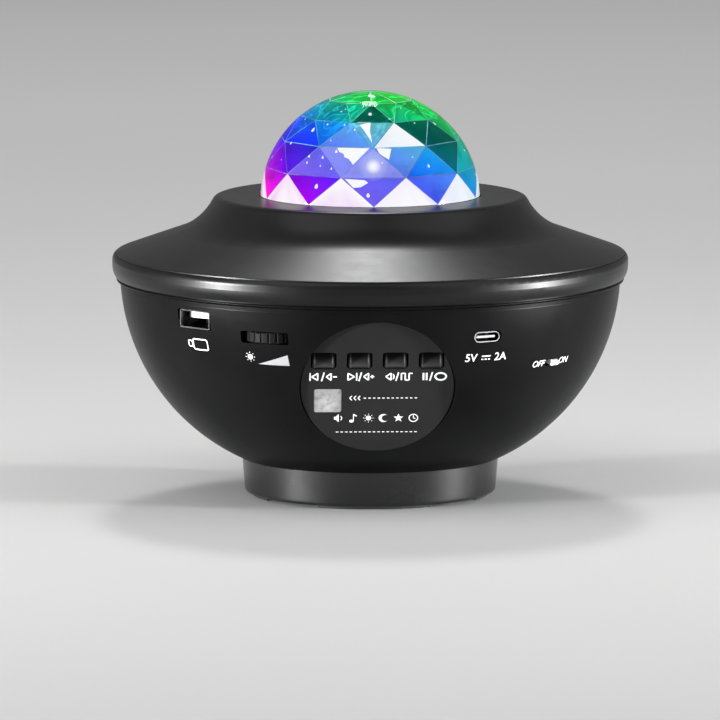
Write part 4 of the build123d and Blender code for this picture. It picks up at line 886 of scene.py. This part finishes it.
class Outline:
    """Flat shapes in millimetres, each a closed row of points."""

    def __init__(self):
        self.faces = []

    def shape(self, *points):
        self.faces.append(points)
        return self

    def band(self, outer, inner):
        """Strip between two rows of points."""
        for k in range(len(outer) - 1):
            self.shape(outer[k], outer[k + 1], inner[k + 1], inner[k])
        return self

    def bar(self, x, y, width, height):
        w, h = width / 2, height / 2
        return self.shape((x - w, y - h), (x + w, y - h), (x + w, y + h), (x - w, y + h))

    def disc(self, x, y, radius, stretch=1.0):
        turns = [2 * math.pi * k / DISC_CORNERS for k in range(DISC_CORNERS)]
        return self.shape(*[(x + radius * stretch * math.cos(t), y + radius * math.sin(t)) for t in turns])

    def ring(self, x, y, radius, width, stretch=1.0, start=0, end=360):
        """Ring, or arc from start to end degrees."""
        count = int((end - start) / RING_STEP_DEGREES)
        turns = [math.radians(start + (end - start) * k / count) for k in range(count + 1)]
        outer = [(x + radius * stretch * math.cos(t), y + radius * math.sin(t)) for t in turns]
        inner_radius = radius - width
        reach = radius * stretch - width
        inner = [(x + reach * math.cos(t), y + inner_radius * math.sin(t)) for t in turns]
        return self.band(outer, inner)

    def frame(self, x, y, width, height, corner, line):
        """Line inside the edge of a rectangle with round corners."""
        rims = []
        for inset in (0, line):
            bend = corner - inset
            reach_x = width / 2 - inset - bend
            reach_y = height / 2 - inset - bend
            rim = []
            for k in range(4 * CORNER_POINTS):
                quarter, part = divmod(k, CORNER_POINTS)
                turn = math.radians(90 * (quarter + part / (CORNER_POINTS - 1)))
                side_x = reach_x if quarter in (0, 3) else -reach_x
                side_y = reach_y if quarter in (0, 1) else -reach_y
                rim.append((x + side_x + bend * math.cos(turn), y + side_y + bend * math.sin(turn)))
            rims.append([*rim, rim[0]])
        return self.band(*rims)

    def stroke(self, width, *points):
        """Line of a width through the points."""
        for (x0, y0), (x1, y1) in zip(points, points[1:]):
            length = math.hypot(x1 - x0, y1 - y0)
            nx, ny = -(y1 - y0) / length * width / 2, (x1 - x0) / length * width / 2
            self.shape((x0 + nx, y0 + ny), (x0 - nx, y0 - ny), (x1 - nx, y1 - ny), (x1 + nx, y1 + ny))
        return self

    def moved(self, dx, dy, scale=1.0):
        """A copy at another place and size."""
        copy = Outline()
        copy.faces = [[(dx + x * scale, dy + y * scale) for x, y in points] for points in self.faces]
        return copy

    def join(self, *others):
        for other in others:
            self.faces += other.faces
        return self


def text_outline(words, height, slant, weight):
    """Plain lettering centred on the origin, with capitals of a height."""
    data = bpy.data.curves.new("lettering", "FONT")
    data.body = words
    data.align_x = "CENTER"
    data.align_y = "CENTER"
    data.size = height / CAP_HEIGHT_SHARE
    data.shear = slant
    data.offset = weight
    holder = new_object("lettering", data)
    graph = bpy.context.evaluated_depsgraph_get()
    mesh = bpy.data.meshes.new_from_object(holder.evaluated_get(graph))
    outline = Outline()
    for face in mesh.polygons:
        outline.shape(*[tuple(mesh.vertices[v].co[:2]) for v in face.vertices])
    bpy.data.objects.remove(holder)
    bpy.data.meshes.remove(mesh)
    return outline


ICON_LINE = 0.45


def skip_icon(forwards):
    """Hollow triangle against a bar, a slash, and a small hollow triangle with minus or plus."""
    icon = Outline()
    if forwards:
        icon.stroke(ICON_LINE, (-4.1, 1.3), (-4.1, -1.3), (-2.1, 0), (-4.1, 1.3))
    else:
        icon.stroke(ICON_LINE, (-1.9, 1.3), (-3.8, 0), (-1.9, -1.3), (-1.9, 1.3))
    icon.bar(-1.4 if forwards else -4.3, 0, ICON_LINE, 2.9)
    icon.stroke(ICON_LINE, (-0.7, -1.6), (0.1, 1.6))
    icon.stroke(ICON_LINE, (2.3, 1.3), (0.8, 0), (2.3, -1.3), (2.3, 1.3))
    icon.bar(3.5, 0, 1.2, 0.5)
    if forwards:
        icon.bar(3.5, 0, 0.5, 1.2)
    return icon


def mode_icon():
    """Hollow speaker with an arc, a slash and a square wave."""
    icon = Outline().stroke(ICON_LINE, (-2.4, 1.3), (-4.1, 0), (-2.4, -1.3), (-2.4, 1.3))
    icon.ring(-2.9, 0, 1.6, 0.4, start=-40, end=40)
    icon.stroke(ICON_LINE, (-0.9, -1.6), (-0.1, 1.6))
    wave = ((0.8, -1.3), (0.8, 1.2), (2.0, 1.2), (2.0, -1.3), (3.2, -1.3), (3.2, 1.2), (4.3, 1.2))
    return icon.stroke(ICON_LINE, *wave)


def play_icon():
    """Two bars, a slash and a ring."""
    icon = Outline().bar(-3.5, 0, 0.55, 2.7).bar(-2.5, 0, 0.55, 2.7)
    icon.stroke(ICON_LINE, (-1.5, -1.6), (-0.7, 1.6))
    return icon.ring(1.9, 0, 1.6, 0.6, 1.25)


def sun_icon(radius):
    icon = Outline().disc(0, 0, radius * 0.5)
    for ray in range(8):
        turn = math.radians(45 * ray)
        start = (0.74 * radius * math.cos(turn), 0.74 * radius * math.sin(turn))
        end = (0.96 * radius * math.cos(turn), 0.96 * radius * math.sin(turn))
        icon.stroke(0.11 * radius, start, end)
    return icon


def moon_icon(radius):
    """Crescent between a large arc and a smaller one to its right."""
    turns = [math.radians(60 + 15 * k) for k in range(17)]
    outer = [(radius * math.cos(t), radius * math.sin(t)) for t in turns]
    inner = [(0.42 * radius + 0.78 * radius * math.cos(t), 0.78 * radius * math.sin(t)) for t in turns]
    return Outline().band(outer, inner)


def star_icon(radius):
    points = []
    for k in range(10):
        reach = radius if k % 2 == 0 else 0.42 * radius
        turn = math.radians(90 + 36 * k)
        points.append((reach * math.cos(turn), reach * math.sin(turn)))
    return Outline().shape(*points)


def note_icon(radius):
    """Head, stem and flag of a note."""
    icon = Outline().disc(-0.4 * radius, -0.7 * radius, 0.34 * radius, 1.25)
    icon.bar(-0.02 * radius, 0.1 * radius, 0.16 * radius, 1.7 * radius)
    return icon.stroke(0.26 * radius, (-0.05 * radius, 0.9 * radius), (0.6 * radius, 0.45 * radius))


def clock_icon(radius):
    icon = Outline().ring(0, 0, radius, 0.2 * radius)
    return icon.stroke(0.18 * radius, (0, 0.6 * radius), (0, 0), (0.42 * radius, -0.2 * radius))


def speaker_icon(radius):
    """Magnet, cone and one wave of sound."""
    icon = Outline().bar(-0.75 * radius, 0, 0.4 * radius, 0.7 * radius)
    back, narrow, front = -0.6 * radius, 0.35 * radius, 0.05 * radius
    icon.shape((back, narrow), (back, -narrow), (front, -radius), (front, radius))
    return icon.ring(0, 0, 0.75 * radius, 0.16 * radius, start=-50, end=50)


def drive_icon():
    """Outline of a memory stick lying on its side."""
    icon = Outline().frame(0.9, 0, 6.6, 3.9, 0.9, 0.42)
    return icon.frame(-3.46, 0.1, 2.0, 2.3, 0.6, 0.36)


def direct_current_icon():
    """Long line over three dashes."""
    icon = Outline().bar(0, 0.45, 2.6, 0.32)
    for x in (-1.0, 0, 1.0):
        icon.bar(x, -0.45, 0.6, 0.32)
    return icon


# ---------------------------------------------------------------- printing

# In millimetres: lift of the ink, longest edge of its mesh, and where its rays start above the middle.
PRINT_LIFT = 0.03
PRINT_STEP = 1.2
RAY_HEIGHT = 6

# In metres: corners closer than this are one, and rays that find a surface start this far out.
PRINT_WELD = 2 * MICRON
OUTSIDE = 0.2


class Surface:
    """Place on a CAD node where marks are printed: X along the surface, Y up it, in millimetres."""

    def __init__(self, node, centre, across, up, outwards):
        self.node = node
        self.centre = centre
        self.across = across
        self.up = up
        self.outwards = outwards

    def point(self, x, y):
        """Point on the node's surface, lifted by the ink."""
        above = self.centre + (self.across * x + self.up * y + self.outwards * RAY_HEIGHT) * MM
        hit, place, _, _ = NODES[self.node].ray_cast(above, -self.outwards)
        if not hit:
            raise RuntimeError(f"a mark misses {self.node} at {x}, {y}")
        return place + self.outwards * PRINT_LIFT * MM


def bowl_surface(azimuth, height):
    """Surface of the bowl round a point at an azimuth and a height in millimetres."""
    way = direction(azimuth, 0)
    start = way * OUTSIDE + Vector((0, 0, height * MM))
    _, place, normal, _ = NODES["bowl_shell"].ray_cast(start, -way)
    across = Vector((0, 0, 1)).cross(way)
    outwards = (normal - across * normal.dot(across)).normalized()
    return Surface("bowl_shell", place, across, outwards.cross(across), outwards)


def panel_surface():
    """Surface of the panel round its middle."""
    low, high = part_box("control_panel")
    start = Vector((0, -OUTSIDE, ((low + high) / 2).z))
    _, place, outwards, _ = NODES["control_panel"].ray_cast(start, Vector((0, 1, 0)))
    across = Vector((1, 0, 0))
    return Surface("control_panel", place, across, outwards.cross(across), outwards)


def long_edges(bm):
    return [edge for edge in bm.edges if edge.calc_length() > PRINT_STEP]


def print_mark(name, surface, outline, material):
    """Piece of ink that follows the surface under an outline."""
    bm = bmesh.new()
    for points in outline.faces:
        bm.faces.new([bm.verts.new((x, y, 0)) for x, y in points])
    bmesh.ops.triangulate(bm, faces=bm.faces)
    while long_edges(bm):
        bmesh.ops.subdivide_edges(bm, edges=long_edges(bm), cuts=1)
        bmesh.ops.triangulate(bm, faces=bm.faces)
    for vert in bm.verts:
        vert.co = surface.point(vert.co.x, vert.co.y)
    bmesh.ops.remove_doubles(bm, verts=bm.verts, dist=PRINT_WELD)
    bmesh.ops.recalc_face_normals(bm, faces=bm.faces)
    for face in bm.faces:
        if face.normal.dot(surface.outwards) < 0:
            face.normal_flip()
    piece = mesh_object(name, bm, material)
    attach(piece, HOUSING)


# Marks on the panel, in millimetres from its middle.
BUTTON_MARK_ROW = 3.4
BUTTON_MARK_PLACES = (-16.8, -5.1, 6.7, 17.9)
PICTOGRAM_ROW = -12.1
PICTOGRAM_START = -12.0
PICTOGRAM_STEP = 4.7
GUIDE_ROW = -4.6
ARROW_START = -8.6
ARROW_STEP = 1.3
ARROW_LENGTH = 0.7
ARROW_RISE = 0.8
RULE_ROW = -17.3
DASH_STEP = 1.45


def dashes(count, start, row, width, height):
    """Row of short bars, DASH_STEP apart."""
    line = Outline()
    for number in range(count):
        line.bar(start + DASH_STEP * number, row, width, height)
    return line


def print_panel(ink):
    surface = panel_surface()
    icons = (skip_icon(False), skip_icon(True), mode_icon(), play_icon())
    for number, (icon, place) in enumerate(zip(icons, BUTTON_MARK_PLACES), 1):
        print_mark(f"button_mark_{number}", surface, icon.moved(place, BUTTON_MARK_ROW), ink)
    small = [speaker_icon(1.5), note_icon(1.6), sun_icon(1.7)]
    small += [moon_icon(1.5), star_icon(1.6), clock_icon(1.5)]
    pictograms = Outline()
    for number, icon in enumerate(small):
        pictograms.join(icon.moved(PICTOGRAM_START + PICTOGRAM_STEP * number, PICTOGRAM_ROW))
    print_mark("pictograms", surface, pictograms, ink)
    guide = Outline()
    for number in range(3):
        tip = ARROW_START + ARROW_STEP * number
        back = tip + ARROW_LENGTH
        guide.stroke(0.3, (back, GUIDE_ROW + ARROW_RISE), (tip, GUIDE_ROW), (back, GUIDE_ROW - ARROW_RISE))
    guide.join(dashes(12, start=-3.8, row=GUIDE_ROW, width=0.75, height=0.32))
    print_mark("window_guide", surface, guide, ink)
    rule = dashes(18, start=-12.4, row=RULE_ROW, width=0.8, height=0.28)
    print_mark("dotted_rule", surface, rule, ink)


WEDGE_MARK_CORNERS = ((-5.4, -0.6), (5.3, -0.7), (5.1, 3.0))
WEDGE_MARK_GREY = (0.295, 0.295, 0.30)
RATING_REACH = 5.2


def print_bowl(ink):
    """Marks on the bowl, each round an azimuth and a height in millimetres."""
    # Painted glow: the grey ink shines faintly, though it is no lamp.
    grey_ink = printed("grey_ink", WEDGE_MARK_GREY, 0.02)
    rating = Outline().join(
        text_outline("5V", height=2.7, slant=0.0, weight=0.03).moved(-RATING_REACH, 0),
        direct_current_icon().moved(0, 0, 1.2),
        text_outline("2A", height=2.7, slant=0.0, weight=0.03).moved(RATING_REACH, 0),
    )
    marks = (
        ("drive_mark", (-45.8, 55.1), drive_icon(), ink),
        ("sun_mark", (-31.0, 52.7), sun_icon(1.75), ink),
        ("wedge_mark", (-25.1, 51.0), Outline().shape(*WEDGE_MARK_CORNERS), grey_ink),
        ("rating_mark", (26.2, 52.5), rating, ink),
        ("off_mark", (42.5, 48.6), text_outline("OFF", height=2.2, slant=0.12, weight=0.03), ink),
        ("on_mark", (51.5, 48.8), text_outline("ON", height=2.15, slant=0.12, weight=0.02), ink),
    )
    for name, place, outline, own_ink in marks:
        print_mark(name, bowl_surface(*place), outline, own_ink)


# ---------------------------------------------------------------- speaker surround

# The rubber ring in wedges, and the tolerance of the cuts between them.
SURROUND_WEDGES = 12
CUT_TOLERANCE = 0.0001 * MM


def surround_wedge(number, turn):
    """One wedge of the ring round an angle, cut from it with a plane at each side."""
    bm = bmesh.new()
    bm.from_mesh(NODES["speaker_surround"].data)
    for side in (-1, 1):
        edge = turn + side * math.pi / SURROUND_WEDGES
        outward = Vector((-math.sin(edge), math.cos(edge), 0)) * side
        everything = bm.verts[:] + bm.edges[:] + bm.faces[:]
        cut = bmesh.ops.bisect_plane(
            bm, geom=everything, dist=CUT_TOLERANCE, plane_co=(0, 0, 0), plane_no=outward, clear_outer=True
        )
        section = [part for part in cut["geom_cut"] if isinstance(part, bmesh.types.BMEdge)]
        bmesh.ops.contextual_create(bm, geom=section)
    bmesh.ops.recalc_face_normals(bm, faces=bm.faces[:])
    rubber = FINISHES[SLOT_OF["speaker_surround"]]
    piece = mesh_object(f"surround_wedge_{number + 1}", bm, rubber)
    return piece


def make_surround():
    """Cuts the rubber roll into wedges in place of the CAD node, which is hidden."""
    for number in range(SURROUND_WEDGES):
        turn = 2 * math.pi * number / SURROUND_WEDGES
        piece = surround_wedge(number, turn)
        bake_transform(piece)
        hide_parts("speaker_surround")


# ---------------------------------------------------------------- studio

FLOOR_SIZE = 12.0
FLOOR_SQUARES = 8
FLOOR_COLOUR = (0.72, 0.72, 0.72)
WORLD_LEVEL = 0.22
STRIP_SPREAD_DEGREES = 50


def make_floor():
    s = Shader("floor")
    s.to("Base Color", s.ramp(s.noise(3), [(0.3, dimmed(FLOOR_COLOUR, 0.97)), (0.7, FLOOR_COLOUR)]))
    s.set(Roughness=0.75, Specular_IOR_Level=0.2)
    bm = bmesh.new()
    bmesh.ops.create_grid(bm, x_segments=FLOOR_SQUARES, y_segments=FLOOR_SQUARES, size=FLOOR_SIZE / 2)
    floor = mesh_object("floor", bm, s.material)


def make_world():
    world = bpy.data.worlds.new("studio")
    bpy.context.scene.world = world
    world.use_nodes = True
    background = world.node_tree.nodes["Background"]
    background.inputs["Color"].default_value = (WORLD_LEVEL, WORLD_LEVEL, WORLD_LEVEL, 1)


def softbox(name, azimuth, elevation, width, height, power, distance=1.4, aim=0.05):
    """Rectangular lamp that faces the object's axis at the height of its aim."""
    data = bpy.data.lights.new(name, "AREA")
    data.shape = "RECTANGLE"
    data.size = width
    data.size_y = height
    data.energy = power
    lamp = new_object(name, data)
    target = Vector((0, 0, aim))
    lamp.matrix_world = look(target + direction(azimuth, elevation) * distance, target)
    lamp.visible_camera = False
    return data


def make_lamps():
    softbox("key", -50, 52, width=1.1, height=1.1, power=6)
    softbox("fill", 60, 48, width=1.2, height=1.2, power=5)
    softbox("back", 179, 53, width=0.32, height=0.5, power=17, distance=2.4)
    for name, azimuth in (("strip_left", -70), ("strip_right", 78)):
        strip = softbox(name, azimuth, 2.2, width=0.22, height=0.12, power=6.0, distance=1.6, aim=0.01)
        strip.spread = math.radians(STRIP_SPREAD_DEGREES)


# ---------------------------------------------------------------- assemble

# Painted glow: the white ink shines faintly, though it is no lamp.
white_ink = printed("white_ink", (0.80, 0.80, 0.79), 0.12)
make_dome()
print_panel(white_ink)
print_bowl(white_ink)
make_surround()
make_floor()
make_world()
make_lamps()
bpy.context.scene.view_settings.view_transform = "Standard"
